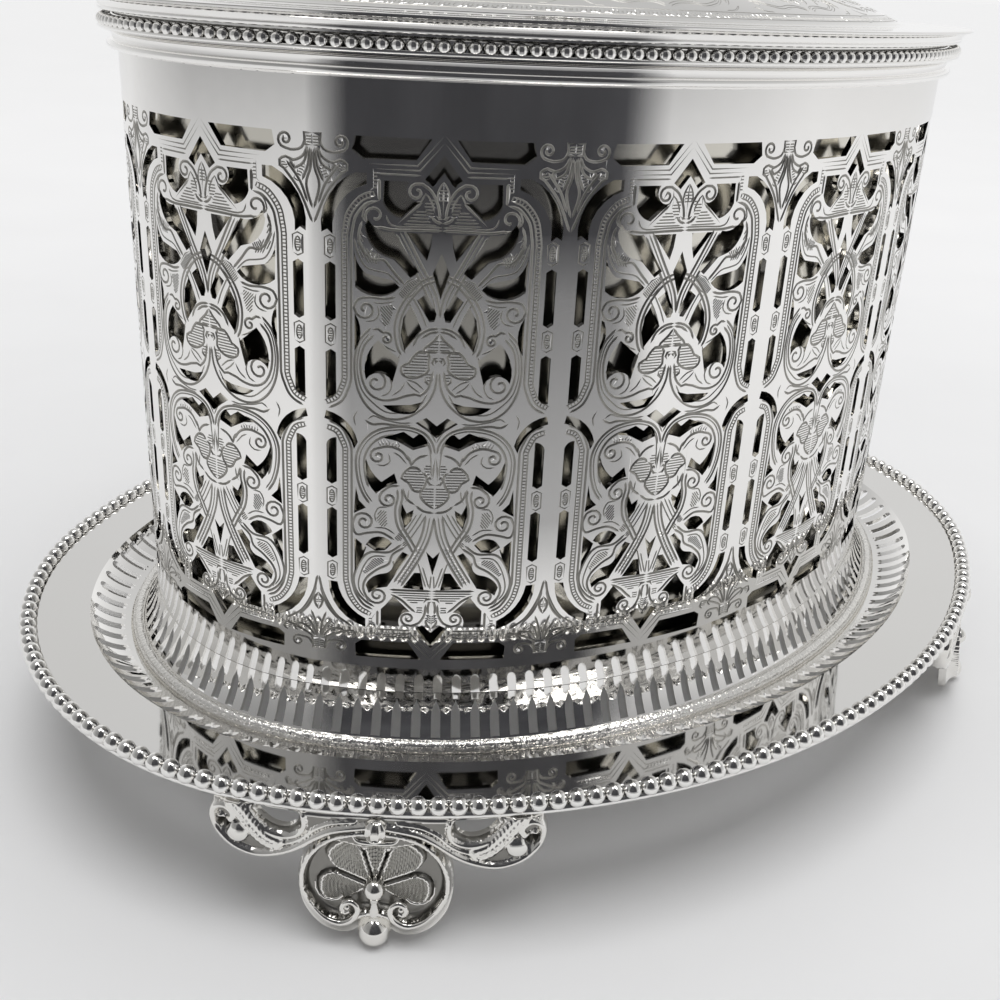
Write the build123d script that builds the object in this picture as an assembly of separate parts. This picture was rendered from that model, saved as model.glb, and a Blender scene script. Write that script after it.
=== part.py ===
from build123d import *
import math
import os

# An oval biscuit jar in silver plate: a pierced wall round a loose liner, on
# a wide pierced tray with four shell feet, under a hinged lid. Millimetres,
# +Z up, the long side along X, the front towards -Y. It stands at z = 0.
# "Offset" is always the distance outwards from the wall's outer face.

# ---- the oval: arcs of the front, the shoulder and the end ----------------
FRONT_RADIUS = 107.7
SHOULDER_RADIUS = 91.0
END_RADIUS = 45.1

# ---- pierced wall ----------------------------------------------------------
WALL_THICKNESS = 1.0
WALL_FOOT_Z = 28.8
PATTERN_Z = 35.3            # lower edge of the lowest row of openings
WALL_TOP_Z = 127.0

# ---- tray ------------------------------------------------------------------
TRAY_THICKNESS = 0.9
FLANGE_START = 1.0          # inner edge of the tray's flat flange
FLANGE_TOP_Z = 20.0
CAVETTO_START = 5.4
CAVETTO_END = 12.8
CAVETTO_END_Z = 24.7
CAVETTO_SAG = 0.75
BAND_END = 22.3             # outer edge of the plain mirror band
BAND_END_Z = 25.1
TRAY_SLOTS = 124
TRAY_SLOT_WIDTH = 1.9
TRAY_SLOT_INNER = 6.0
TRAY_SLOT_OUTER = 12.2

# ---- beaded wire round the tray ---------------------------------------------
RIM_BEADS = 196
RIM_BEAD_RADIUS = 1.5
RIM_BEAD_OFFSET = 23.8
RIM_BEAD_Z = 25.4
RIM_STRIP_INNER = 20.8
RIM_STRIP_OUTER = 24.9
RIM_STRIP_FOOT_Z = 23.2

# ---- skirt and ring moulding -------------------------------------------------
SKIRT_THICKNESS = 0.8
SKIRT_FOOT = 3.0            # outer face of the skirt where it stands
SKIRT_FLARE_Z = 21.2
LAP_THICKNESS = 0.8         # the laps inside the wall's two edges
LAP_TOP_Z = 33.6
FLUTES = 136
FLUTE_WIDTH = 1.5
FLUTE_LOW_Z = 22.0
FLUTE_SHOULDER_Z = 26.0
FLUTE_POINT_Z = 27.8
RING_OUTER = 5.2
RING_TOP_Z = 22.1

# ---- collar --------------------------------------------------------------------
MOUTH = -2.2                # inner face of the collar
LAP_FOOT_Z = 121.0
TORUS_OUT = 1.7
GROOVE = 0.8
GROOVE_Z = 129.0
COLLAR_TOP_Z = 130.4
COLLAR_BEADS = 224
COLLAR_BEAD_RADIUS = 0.98
COLLAR_BEAD_OFFSET = 2.1
COLLAR_BEAD_Z = 131.6
COLLAR_STRIP_INNER = 0.9
COLLAR_STRIP_OUTER = 2.8
COLLAR_STRIP_TOP_Z = 130.9
RIM_TOP_Z = 132.7

# ---- liner -----------------------------------------------------------------------
FLOOR_PLATE_Z = 29.6
FLOOR_PLATE_THICKNESS = 0.9
LINER_OUTSIDE = -3.4
LINER_THICKNESS = 0.8
LINER_TOP_Z = 125.6
LINER_RIM_HEIGHT = 1.4
LINER_RIM_INNER = -4.8

# ---- lid --------------------------------------------------------------------------
LID_EDGE = 4.5
LID_EDGE_Z = 135.0
LID_EDGE_THICKNESS = 0.5
COVE_FOOT = 2.6
COVE_LIP_HEIGHT = 0.7
LID_RELIEF = 0.35           # the dark line between the lid and the beads
LID_RIM_BORE = -1.2
BEZEL_OUTSIDE = -2.9
BEZEL_THICKNESS = 0.7
BEZEL_FOOT_Z = 127.8
COVER_THICKNESS = 0.9
DOME_MARGIN = 7.0           # flat margin between the edge and the dome
SEAT_Z = 144.6              # flat seat of the finial
SEAT_LENGTH = 32.0
SEAT_WIDTH = 24.0

# ---- hinge ------------------------------------------------------------------------
HINGE_OFFSET = 6.8          # the pin's distance behind the wall
HINGE_Z = 133.0
KNUCKLE_RADIUS = 1.8
PIN_RADIUS = 0.8
PIN_CLEARANCE = 0.06
PIN_HEAD_RADIUS = 1.3
PIN_HEAD_LENGTH = 0.8
KNUCKLE_LENGTH = 8.0
KNUCKLE_GAP = 0.3
LEAF_THICKNESS = 1.0
LEAF_FOOT_Z = 123.0
LEAF_FOOT_HEIGHT = 3.2

# ---- finial -----------------------------------------------------------------------
ROSETTE_RADIUS = 10.5
ROSETTE_PETAL_RADIUS = 3.4
ROSETTE_PETALS = 8
ROSETTE_HEIGHT = 1.8
FINIAL_NECK_RADIUS = 3.2
FINIAL_KNOP_RADIUS = 7.6
FINIAL_HEIGHT = 26.0
FINIAL_TIP_RADIUS = 1.2
STUD_RADIUS = 1.6
STUD_CLEARANCE = 0.05
STUD_IN_FINIAL = 8.0
NUT_ACROSS_FLATS = 6.0
NUT_HEIGHT = 2.4
WASHER_RADIUS = 5.0
WASHER_THICKNESS = 0.6

# ---- feet -------------------------------------------------------------------------
FOOT_BALL_X = 73.0          # where the balls stand on the table
FOOT_BALL_Y = 62.6
FOOT_BALL_RADIUS = 3.0
FOOT_WORN_FLAT = 0.35
SHELL_WIDTH = 24.0
SHELL_HEIGHT = 19.0
SHELL_DEPTH = 2.4
SHELL_RIM = 1.9
SHELL_CENTRE_Z = 13.4
SHELL_LEAN = 6.0            # degrees, the ball outermost
SHELL_LOBES = 7
WING_REACH = 27.0
WING_THICKNESS = 2.4
PAD_WIDTH = 12.0
PAD_DEPTH = 6.0


# ---- the oval as arcs ----------------------------------------------------------------
# Each panel of the wall is bent to one radius, and three panels of equal
# width make a quarter, from the front's middle to the right-hand end.
RADII = (FRONT_RADIUS, SHOULDER_RADIUS, END_RADIUS)
PANEL_WIDTH = (math.pi / 2) / sum(1 / radius for radius in RADII)
TURNS = [PANEL_WIDTH / radius for radius in RADII]
STARTS = [-math.pi / 2, -math.pi / 2 + TURNS[0], -TURNS[2]]
STEP_ONE = FRONT_RADIUS - SHOULDER_RADIUS
STEP_TWO = SHOULDER_RADIUS - END_RADIUS
front_centre = (0.0, -STEP_ONE * math.sin(STARTS[1]) - STEP_TWO * math.sin(STARTS[2]))
shoulder_centre = (STEP_ONE * math.cos(STARTS[1]), front_centre[1] + STEP_ONE * math.sin(STARTS[1]))
end_centre = (shoulder_centre[0] + STEP_TWO * math.cos(STARTS[2]), 0.0)
CENTRES = (front_centre, shoulder_centre, end_centre)
HALF_WIDTH = FRONT_RADIUS - front_centre[1]
HALF_LENGTH = END_RADIUS + end_centre[0]


def outline(*steps):
    """A closed face. A step is a point, or a (through, to) pair for an arc."""
    edges = []
    here = steps[0]
    for step in steps[1:]:
        if isinstance(step[0], tuple):
            edges.append(ThreePointArc(here, step[0], step[1]))
            here = step[1]
        else:
            edges.append(Line(here, step))
            here = step
    if math.dist(here, steps[0]) > 1e-6:
        edges.append(Line(here, steps[0]))
    return make_face(edges)


def rectangle(x0, y0, x1, y1):
    return outline((x0, y0), (x1, y0), (x1, y1), (x0, y1))


def radial_plane(arc, angle):
    x, y = CENTRES[arc]
    return Plane(origin=(x, y, 0), x_dir=(math.cos(angle), math.sin(angle), 0),
                 z_dir=(math.sin(angle), -math.cos(angle), 0))


def facing(arc, angle, offset, z):
    """x along the oval, y up, z outwards."""
    x, y = CENTRES[arc]
    reach = RADII[arc] + offset
    return Plane(origin=(x + reach * math.cos(angle), y + reach * math.sin(angle), z),
                 x_dir=(-math.sin(angle), math.cos(angle), 0),
                 z_dir=(math.cos(angle), math.sin(angle), 0))


def sweep_arc(section, arc):
    """A section in (offset, z) carried along one panel's width."""
    placed = radial_plane(arc, STARTS[arc]) * Pos(RADII[arc], 0, 0) * section
    axis = Axis((CENTRES[arc][0], CENTRES[arc][1], 0), (0, 0, 1))
    return revolve(placed, axis, math.degrees(TURNS[arc]))


def quarter_of(section):
    return sweep_arc(section, 0) + [sweep_arc(section, 1), sweep_arc(section, 2)]


def all_round(quarter):
    """The front right quarter, mirrored to the other three, as one piece."""
    front = quarter + mirror(quarter, Plane.YZ)
    return front + mirror(front, Plane.XZ)


def stations(offset, count):
    """Evenly spaced places on a quarter of the oval: (arc, angle)."""
    lengths = [(RADII[arc] + offset) * TURNS[arc] for arc in range(3)]
    pitch = sum(lengths) / (count / 4)
    places = []
    for k in range(count // 4):
        along = pitch * (k + 0.5)
        arc = 0
        while along > lengths[arc]:
            along -= lengths[arc]
            arc += 1
        places.append((arc, STARTS[arc] + along / (RADII[arc] + offset)))
    return places


def oval_face(offset):
    """The whole oval at an offset."""
    ends = []
    middles = []
    for arc in range(3):
        x, y = CENTRES[arc]
        reach = RADII[arc] + offset
        for where, share in ((ends, 1.0), (middles, 0.5)):
            angle = STARTS[arc] + TURNS[arc] * share
            where.append((x + reach * math.cos(angle), y + reach * math.sin(angle)))
    run = [(0.0, -HALF_WIDTH - offset)]
    for middle, end in zip(middles, ends):
        run.append((middle, end))
    back_ends = [(0.0, -HALF_WIDTH - offset)] + ends
    for k in (2, 1, 0):
        middle = (middles[k][0], -middles[k][1])
        run.append((middle, (back_ends[k][0], -back_ends[k][1])))
    for k in range(3):
        run.append(((-middles[k][0], -middles[k][1]), (-ends[k][0], -ends[k][1])))
    for k in (2, 1, 0):
        run.append(((-middles[k][0], middles[k][1]), (-back_ends[k][0], back_ends[k][1])))
    return outline(*run)


def slab(offset, low, high):
    return extrude(Pos(0, 0, low) * oval_face(offset), high - low)


def tube(outer, inner, low, high):
    return slab(outer, low, high) - slab(inner, low, high)


def save(shape, node):
    export_step(shape, f"parts/{node}.step", write_pcurves=False)


os.makedirs("parts", exist_ok=True)

# ---- tray plate ----------------------------------------------------------------------
# The flat flange under the ring moulding, the hollow pierced border and the
# plain band out to the beads.
border_middle = (CAVETTO_START + CAVETTO_END) / 2
border_low = (FLANGE_TOP_Z + CAVETTO_END_Z) / 2 - CAVETTO_SAG
tray_section = outline(
    (FLANGE_START, FLANGE_TOP_Z - TRAY_THICKNESS),
    (CAVETTO_START, FLANGE_TOP_Z - TRAY_THICKNESS),
    ((border_middle, border_low - TRAY_THICKNESS), (CAVETTO_END, CAVETTO_END_Z - TRAY_THICKNESS)),
    (BAND_END, BAND_END_Z - TRAY_THICKNESS),
    (BAND_END, BAND_END_Z),
    (CAVETTO_END, CAVETTO_END_Z),
    ((border_middle, border_low), (CAVETTO_START, FLANGE_TOP_Z)),
    (FLANGE_START, FLANGE_TOP_Z),
)
half_slot = TRAY_SLOT_WIDTH / 2
slot_outline = outline(
    (-half_slot, TRAY_SLOT_INNER),
    (0, TRAY_SLOT_INNER + 0.6),
    (half_slot, TRAY_SLOT_INNER),
    (half_slot, TRAY_SLOT_OUTER - half_slot),
    ((0, TRAY_SLOT_OUTER), (-half_slot, TRAY_SLOT_OUTER - half_slot)),
)
slot_tool = extrude(Rot(90, 0, 0) * slot_outline, 6, both=True)
tray_quarter = quarter_of(tray_section)
tray_quarter -= [facing(arc, angle, 0, border_low) * slot_tool
                 for arc, angle in stations(border_middle, TRAY_SLOTS)]
save(all_round(tray_quarter), "tray_plate")


# ---- beaded wires ----------------------------------------------------------------------
# Round beads in a row on a flat strip.
def beaded_wire(strip_section, strip_z, bead_offset, bead_z, bead_radius, count):
    strip = quarter_of(strip_section)
    drop = bead_z - strip_z
    base = math.sqrt(bead_radius ** 2 - drop ** 2)
    profile = outline((0, strip_z), (base, strip_z),
                      ((bead_radius, bead_z), (0, bead_z + bead_radius)))
    bead = revolve(Plane.XZ * profile, Axis.Z)
    beads = []
    for arc, angle in stations(bead_offset, count):
        x, y = CENTRES[arc]
        reach = RADII[arc] + bead_offset
        beads.append(Pos(x + reach * math.cos(angle), y + reach * math.sin(angle), 0) * bead)
    return all_round(strip + beads)


# The tray's strip is soldered under the sloping edge of the mirror band.
band_slope = (BAND_END_Z - CAVETTO_END_Z) / (BAND_END - CAVETTO_END)
rim_strip_z = BAND_END_Z - TRAY_THICKNESS
rim_strip_section = outline(
    (RIM_STRIP_INNER, RIM_STRIP_FOOT_Z), (RIM_STRIP_OUTER, RIM_STRIP_FOOT_Z),
    (RIM_STRIP_OUTER, rim_strip_z), (BAND_END, rim_strip_z),
    (RIM_STRIP_INNER, rim_strip_z - band_slope * (BAND_END - RIM_STRIP_INNER)),
)
save(beaded_wire(rim_strip_section, rim_strip_z, RIM_BEAD_OFFSET, RIM_BEAD_Z, RIM_BEAD_RADIUS,
                 RIM_BEADS), "tray_bead_rim")

collar_strip_section = rectangle(COLLAR_STRIP_INNER, COLLAR_TOP_Z,
                                 COLLAR_STRIP_OUTER, COLLAR_STRIP_TOP_Z)
save(beaded_wire(collar_strip_section, COLLAR_STRIP_TOP_Z, COLLAR_BEAD_OFFSET, COLLAR_BEAD_Z,
                 COLLAR_BEAD_RADIUS, COLLAR_BEADS), "collar_bead_row")

# ---- ring moulding ---------------------------------------------------------------------
# A cast half-round wire, flat where it stands on the tray's flange and flat
# against the foot of the skirt.
ring_section = outline(
    (SKIRT_FOOT, FLANGE_TOP_Z),
    (RING_OUTER - 0.3, FLANGE_TOP_Z),
    ((RING_OUTER, FLANGE_TOP_Z + 1.0), ((SKIRT_FOOT + RING_OUTER) / 2, RING_TOP_Z)),
    ((SKIRT_FOOT + 0.35, RING_TOP_Z - 0.35), (SKIRT_FOOT, SKIRT_FLARE_Z)),
)
save(all_round(quarter_of(ring_section)), "base_ring")

# ---- pierced skirt ---------------------------------------------------------------------
# The wall stands on its shoulder; above that a lap runs up inside the wall.
lap_outer = -WALL_THICKNESS
lap_inner = lap_outer - LAP_THICKNESS
flare_middle_z = (WALL_FOOT_Z + SKIRT_FLARE_Z) / 2 - 0.4
skirt_section = outline(
    (lap_inner, LAP_TOP_Z),
    (lap_inner, WALL_FOOT_Z - SKIRT_THICKNESS),
    (-SKIRT_THICKNESS, WALL_FOOT_Z - SKIRT_THICKNESS),
    ((0.1, flare_middle_z), (SKIRT_FOOT - SKIRT_THICKNESS, SKIRT_FLARE_Z)),
    (SKIRT_FOOT - SKIRT_THICKNESS, FLANGE_TOP_Z),
    (SKIRT_FOOT, FLANGE_TOP_Z),
    (SKIRT_FOOT, SKIRT_FLARE_Z),
    ((0.95, flare_middle_z), (0, WALL_FOOT_Z)),
    (lap_outer, WALL_FOOT_Z),
    (lap_outer, LAP_TOP_Z),
)
half_flute = FLUTE_WIDTH / 2
flute_outline = outline(
    (-half_flute, FLUTE_LOW_Z), (half_flute, FLUTE_LOW_Z), (half_flute, FLUTE_SHOULDER_Z),
    (0, FLUTE_POINT_Z), (-half_flute, FLUTE_SHOULDER_Z),
)
flute_tool = extrude(flute_outline, 3.0, both=True)
skirt_quarter = quarter_of(skirt_section)
skirt_quarter -= [facing(arc, angle, 1.5, 0) * flute_tool for arc, angle in stations(1.5, FLUTES)]
save(all_round(skirt_quarter), "base_skirt")

# ---- floor plate and liner ---------------------------------------------------------------
floor_top_z = FLOOR_PLATE_Z + FLOOR_PLATE_THICKNESS
save(slab(lap_inner, FLOOR_PLATE_Z, floor_top_z), "floor_plate")

liner = slab(LINER_OUTSIDE, floor_top_z, LINER_TOP_Z)
liner -= slab(LINER_OUTSIDE - LINER_THICKNESS, floor_top_z + LINER_THICKNESS, LINER_TOP_Z + 1)
save(liner, "liner")

# The liner's rolled edge: round on top, flat where it meets the liner.
liner_rim_top_z = LINER_TOP_Z + LINER_RIM_HEIGHT
liner_rim_section = outline(
    (LINER_RIM_INNER, LINER_TOP_Z), (LINER_OUTSIDE, LINER_TOP_Z), (LINER_OUTSIDE, LINER_TOP_Z + 0.7),
    (((LINER_OUTSIDE + LINER_RIM_INNER) / 2, liner_rim_top_z), (LINER_RIM_INNER, LINER_TOP_Z + 0.7)),
)
save(all_round(quarter_of(liner_rim_section)), "liner_rim")

# ---- pierced wall --------------------------------------------------------------------------
# Openings of half a panel, (distance from the panel's middle line, height
# above the lowest opening); each is cut on both sides of the middle line.
PAIRED_OPENINGS = [
    # the top border bar and the corner bracket under it
    [(1.7, 84.1), (12.5, 84.1), (12.9, 82.1), (11.4, 81.0), (3.9, 81.1)],
    [(4.8, 78.2), (8.4, 78.2), (8.5, 75.2), ((7.6, 73.8), (6.0, 73.0)), (3.2, 75.4),
     ((4.8, 76.1), (5.1, 77.6))],
    # the shoulder arch beside the post, and the long slots of the post
    [(10.8, 79.1), (12.4, 79.1), ((16.0, 76.2), (17.35, 70.4)), (16.5, 70.9), (15.7, 70.2),
     ((14.6, 74.8), (10.8, 77.5))],
    [(15.3, 57.8), (16.1, 57.3), (16.9, 57.8), (16.9, 65.7), (16.1, 66.2), (15.3, 65.7)],
    [(15.3, 46.3), ((15.8, 45.5), (16.9, 45.2)), (16.9, 52.5), (16.1, 53.0), (15.3, 52.5)],
    # the straps and leaves of the upper flower
    [(10.6, 72.7), ((8.9, 71.2), (6.9, 71.1)), (3.2, 65.4), (4.4, 64.5), (6.8, 67.0),
     (8.6, 67.6), ((10.3, 69.2), (11.1, 71.5))],
    [(1.4, 71.0), (5.1, 71.0), (2.1, 67.1), (1.6, 69.0)],
    [(12.6, 68.3), ((12.0, 66.2), (10.8, 64.8)), (6.9, 64.0), (5.9, 63.0), (6.8, 62.2),
     (9.2, 61.6), (11.5, 61.9), (12.4, 62.7)],
    [(3.4, 61.2), (2.0, 62.3), (0.5, 59.3), (0.8, 58.1), (1.5, 58.0)],
    [(4.3, 60.3), (2.6, 56.8), (5.1, 53.5), (5.7, 56.0), (5.4, 58.4)],
    [(12.5, 58.8), ((11.6, 56.0), (12.5, 53.0))],
    [(9.0, 54.9), ((10.8, 51.9), (10.8, 48.6)), ((8.8, 49.8), (6.8, 48.4)), (5.8, 52.2),
     (7.3, 53.4)],
    # the waist between the two flowers
    [(2.0, 45.6), (4.0, 45.0), (8.2, 44.7), ((5.8, 43.5), (3.4, 43.7))],
    [(12.0, 38.4), ((13.6, 41.5), (16.9, 43.2)), (17.2, 41.9), ((14.3, 40.3), (12.6, 37.2))],
    [(1.25, 38.4), ((1.8, 39.8), (2.6, 40.4)), (3.5, 39.6), (5.0, 40.6), (8.1, 39.4),
     (6.0, 39.0), (3.5, 37.6)],
    # the straps and leaves of the lower flower
    [(10.8, 35.9), ((10.7, 32.6), (9.1, 29.9)), ((7.6, 31.2), (5.8, 31.9)), (6.3, 33.6),
     (8.3, 32.0), ((9.7, 33.5), (10.6, 35.4))],
    [(12.3, 31.0), (12.6, 26.3), (10.7, 27.4), (11.8, 28.6)],
    [(3.2, 27.5), (4.3, 26.8), (5.1, 28.6), (5.2, 26.5), (4.6, 24.2), (3.6, 25.5)],
    [(6.5, 21.4), ((8.7, 22.5), (10.7, 20.9)), (9.2, 19.9), (7.6, 20.1)],
    [(12.5, 22.0), (12.5, 15.8), (11.2, 18.6), (10.6, 20.4)],
    [(3.8, 19.5), (7.2, 13.5), (8.9, 13.1), (10.2, 12.1), (10.7, 13.6),
     ((9.5, 15.2), (7.8, 15.9)), ((6.5, 16.8), (6.4, 18.1)), (4.8, 20.0)],
    [(1.3, 13.2), (4.8, 13.4), (2.9, 16.3), (1.9, 16.3)],
    # the lower bracket, border bar, shoulder arch and post slots
    [(3.5, 9.1), (6.2, 11.9), (7.4, 10.2), (8.2, 9.3), (8.2, 6.2), (5.1, 6.2),
     ((5.2, 7.8), (4.5, 8.8))],
    [(1.6, 0.0), (12.3, 0.0), (12.4, 2.4), (11.3, 3.2), (3.7, 3.2)],
    [(16.8, 13.8), ((14.9, 8.4), (10.7, 5.7)), (10.7, 7.3), ((13.7, 9.8), (15.3, 13.7))],
    [(15.3, 31.5), (16.1, 31.0), (16.9, 31.5), (16.9, 37.7), ((16.3, 38.6), (15.3, 38.9))],
    [(15.3, 18.5), (16.1, 18.0), (16.9, 18.5), (16.9, 26.5), (16.1, 27.0), (15.3, 26.5)],
]

# Openings on the middle line itself.
MIDDLE_OPENINGS = [
    [(0, 82.0), (2.7, 78.5), (1.5, 77.6), (0, 79.5), (-1.5, 77.6), (-2.7, 78.5)],
    [(0, 68.3), (1.25, 65.2), (0, 61.5), (-1.25, 65.2)],
    [(3.2, 42.1), (1.6, 43.0), (0, 41.7), (-1.6, 43.0), (-3.2, 42.1), (-1.6, 41.0), (0, 39.7),
     (1.6, 41.0)],
    [(1.1, 20.2), (0, 19.0), (-1.1, 20.2), (0, 15.9)],
    [(2.6, 6.0), (1.4, 6.6), (0, 5.2), (-1.4, 6.6), (-2.6, 6.0), (0, 2.2)],
]


def opening_tool(steps):
    """A bar to cut one opening, and its middle's distance along the panel."""
    points = [step[1] if isinstance(step[0], tuple) else step for step in steps]
    across = [point[0] for point in points]
    middle = (min(across) + max(across)) / 2
    bar = extrude(Pos(-middle, 0, 0) * outline(*steps), WALL_THICKNESS * 3, both=True)
    return bar, middle


tools = [opening_tool(steps) for steps in MIDDLE_OPENINGS]
for steps in PAIRED_OPENINGS:
    bar, middle = opening_tool(steps)
    tools.append((bar, middle))
    tools.append((mirror(bar, Plane.YZ), -middle))

wall_section = rectangle(-WALL_THICKNESS, WALL_FOOT_Z, 0, WALL_TOP_Z)
wall_panels = []
for arc in range(3):
    middle_angle = STARTS[arc] + TURNS[arc] / 2
    cutters = [facing(arc, middle_angle + middle / RADII[arc], 0, PATTERN_Z) * bar
               for bar, middle in tools]
    wall_panels.append(sweep_arc(wall_section, arc) - cutters)
wall_quarter = wall_panels[0] + wall_panels[1:]
save(all_round(wall_quarter), "pierced_wall")

# ---- collar ----------------------------------------------------------------------------------
# A lap inside the wall, a round, a groove and a small hollow under the beads.
collar_section = outline(
    (lap_inner, LAP_FOOT_Z),
    (lap_outer, LAP_FOOT_Z),
    (lap_outer, WALL_TOP_Z),
    (0, WALL_TOP_Z),
    (GROOVE, WALL_TOP_Z + 0.3),
    ((TORUS_OUT, WALL_TOP_Z + 0.95), (GROOVE, WALL_TOP_Z + 1.6)),
    (GROOVE, GROOVE_Z),
    ((GROOVE + 0.35, GROOVE_Z + 0.8), (COLLAR_BEAD_OFFSET, COLLAR_TOP_Z - 0.2)),
    (COLLAR_BEAD_OFFSET, COLLAR_TOP_Z),
    (MOUTH, COLLAR_TOP_Z),
    (MOUTH, WALL_TOP_Z),
    (lap_inner, WALL_TOP_Z - 0.6),
)
save(all_round(quarter_of(collar_section)), "collar_moulding")

# The flat rim behind the beads, with its outer corner rounded.
rim_corner = 0.5
rim_section = outline(
    (MOUTH, COLLAR_TOP_Z), (COLLAR_STRIP_INNER, COLLAR_TOP_Z),
    (COLLAR_STRIP_INNER, RIM_TOP_Z - rim_corner),
    ((COLLAR_STRIP_INNER - 0.15, RIM_TOP_Z - 0.15), (COLLAR_STRIP_INNER - rim_corner, RIM_TOP_Z)),
    (MOUTH, RIM_TOP_Z),
)
save(all_round(quarter_of(rim_section)), "collar_rim")

# ---- lid -------------------------------------------------------------------------------------
# The moulding rests on the collar's rim and hollows out to the cover's edge.
rest_outer = COLLAR_STRIP_INNER - rim_corner
cove_foot_z = RIM_TOP_Z + LID_RELIEF + COVE_LIP_HEIGHT
cove_end = LID_EDGE - 0.2
lid_rim_section = outline(
    (LID_RIM_BORE, RIM_TOP_Z),
    (rest_outer, RIM_TOP_Z),
    (rest_outer, RIM_TOP_Z + LID_RELIEF),
    (COVE_FOOT, RIM_TOP_Z + LID_RELIEF),
    (COVE_FOOT, cove_foot_z),
    ((COVE_FOOT + 0.45, cove_foot_z + 0.75), (cove_end, LID_EDGE_Z)),
    (LID_RIM_BORE, LID_EDGE_Z),
)
lid_rim = all_round(quarter_of(lid_rim_section))
save(lid_rim, "lid_rim")

save(tube(BEZEL_OUTSIDE, BEZEL_OUTSIDE - BEZEL_THICKNESS, BEZEL_FOOT_Z, LID_EDGE_Z), "lid_bezel")

# A flat margin with a sharp edge, and a low dome up to the finial's seat.
margin_top_z = LID_EDGE_Z + LID_EDGE_THICKNESS
dome_length = HALF_LENGTH - DOME_MARGIN
dome_width = HALF_WIDTH - DOME_MARGIN
dome_rise = SEAT_Z - margin_top_z
# (share of the way in from the margin to the seat, share of the rise)
DOME_LEVELS = [(0.0, 0.0), (0.09, 0.25), (0.33, 0.63), (0.66, 0.89), (1.0, 1.0)]


def dome(inset, foot_drop):
    rings = []
    for share_in, share_up in DOME_LEVELS:
        half_x = dome_length + (SEAT_LENGTH / 2 - dome_length) * share_in - inset
        half_y = dome_width + (SEAT_WIDTH / 2 - dome_width) * share_in - inset
        z = margin_top_z + dome_rise * share_up - inset
        rings.append(Pos(0, 0, z) * Ellipse(half_x, half_y))
    solid = loft(rings)
    foot = Ellipse(dome_length - inset, dome_width - inset)
    return solid + extrude(Pos(0, 0, margin_top_z - inset - foot_drop) * foot, foot_drop)


stud_hole = Pos(0, 0, SEAT_Z) * Cylinder(STUD_RADIUS, 20)
lid_cover = slab(LID_EDGE, LID_EDGE_Z, margin_top_z) + dome(0, LID_EDGE_THICKNESS / 2)
lid_cover -= dome(COVER_THICKNESS, 1.0)
save(lid_cover - stud_hole, "lid_cover")

# ---- finial ------------------------------------------------------------------------------------
# A leafy rosette on the dome's seat, a bud above it, and a stud that holds
# both with a washer and a nut under the cover.
petal_circle = ROSETTE_RADIUS - ROSETTE_PETAL_RADIUS
rosette = Pos(0, 0, SEAT_Z + ROSETTE_HEIGHT / 2) * Cylinder(petal_circle, ROSETTE_HEIGHT)
petals = []
for k in range(ROSETTE_PETALS):
    turn = Rot(0, 0, 360 * (k + 0.5) / ROSETTE_PETALS)
    petals.append(turn * Pos(petal_circle, 0, SEAT_Z + ROSETTE_HEIGHT * 0.4)
                  * Cylinder(ROSETTE_PETAL_RADIUS, ROSETTE_HEIGHT * 0.8))
rosette = rosette + petals - stud_hole
save(rosette, "finial_base")

finial_foot_z = SEAT_Z + ROSETTE_HEIGHT
finial_top_z = finial_foot_z + FINIAL_HEIGHT
knop_z = finial_foot_z + FINIAL_HEIGHT * 0.48
half_root = math.sqrt(0.5)
finial_section = outline(
    (STUD_RADIUS, finial_foot_z),
    (FINIAL_NECK_RADIUS + 1.6, finial_foot_z),
    ((FINIAL_NECK_RADIUS + 0.3, finial_foot_z + 1.4), (FINIAL_NECK_RADIUS, finial_foot_z + 4.0)),
    ((FINIAL_NECK_RADIUS + 2.6, finial_foot_z + 6.4), (FINIAL_KNOP_RADIUS, knop_z)),
    ((FINIAL_KNOP_RADIUS * 0.62, knop_z + 8.0), (FINIAL_TIP_RADIUS, finial_top_z - FINIAL_TIP_RADIUS)),
    ((FINIAL_TIP_RADIUS * half_root, finial_top_z - FINIAL_TIP_RADIUS * (1 - half_root)),
     (0, finial_top_z)),
    (0, finial_foot_z + STUD_IN_FINIAL),
    (STUD_RADIUS, finial_foot_z + STUD_IN_FINIAL),
)
save(revolve(Plane.XZ * finial_section, Axis.Z), "finial")

dome_inside_z = SEAT_Z - COVER_THICKNESS
washer_foot_z = dome_inside_z - WASHER_THICKNESS
nut_foot_z = washer_foot_z - NUT_HEIGHT
stud_foot_z = nut_foot_z - 1.0
stud_length = finial_foot_z + STUD_IN_FINIAL - stud_foot_z
save(Pos(0, 0, stud_foot_z + stud_length / 2) * Cylinder(STUD_RADIUS, stud_length), "finial_stud")
washer = Pos(0, 0, washer_foot_z) * extrude(Circle(WASHER_RADIUS) - Circle(STUD_RADIUS),
                                            WASHER_THICKNESS)
save(washer, "finial_washer")
nut_face = RegularPolygon(NUT_ACROSS_FLATS / 2, 6, major_radius=False) - Circle(STUD_RADIUS)
save(Pos(0, 0, nut_foot_z) * extrude(nut_face, NUT_HEIGHT), "finial_nut")

# ---- hinge ---------------------------------------------------------------------------------------
hinge_y = HALF_WIDTH + HINGE_OFFSET
half_knuckle = KNUCKLE_LENGTH / 2
outer_start = half_knuckle + KNUCKLE_GAP
hinge_end = outer_start + KNUCKLE_LENGTH
along_hinge = Pos(0, hinge_y, HINGE_Z) * Rot(0, 90, 0)
leaf_inner_y = hinge_y - KNUCKLE_RADIUS


def block(x, y0, y1, z0, z1):
    return Pos(0, (y0 + y1) / 2, (z0 + z1) / 2) * Box(2 * x, y1 - y0, z1 - z0)


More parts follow.
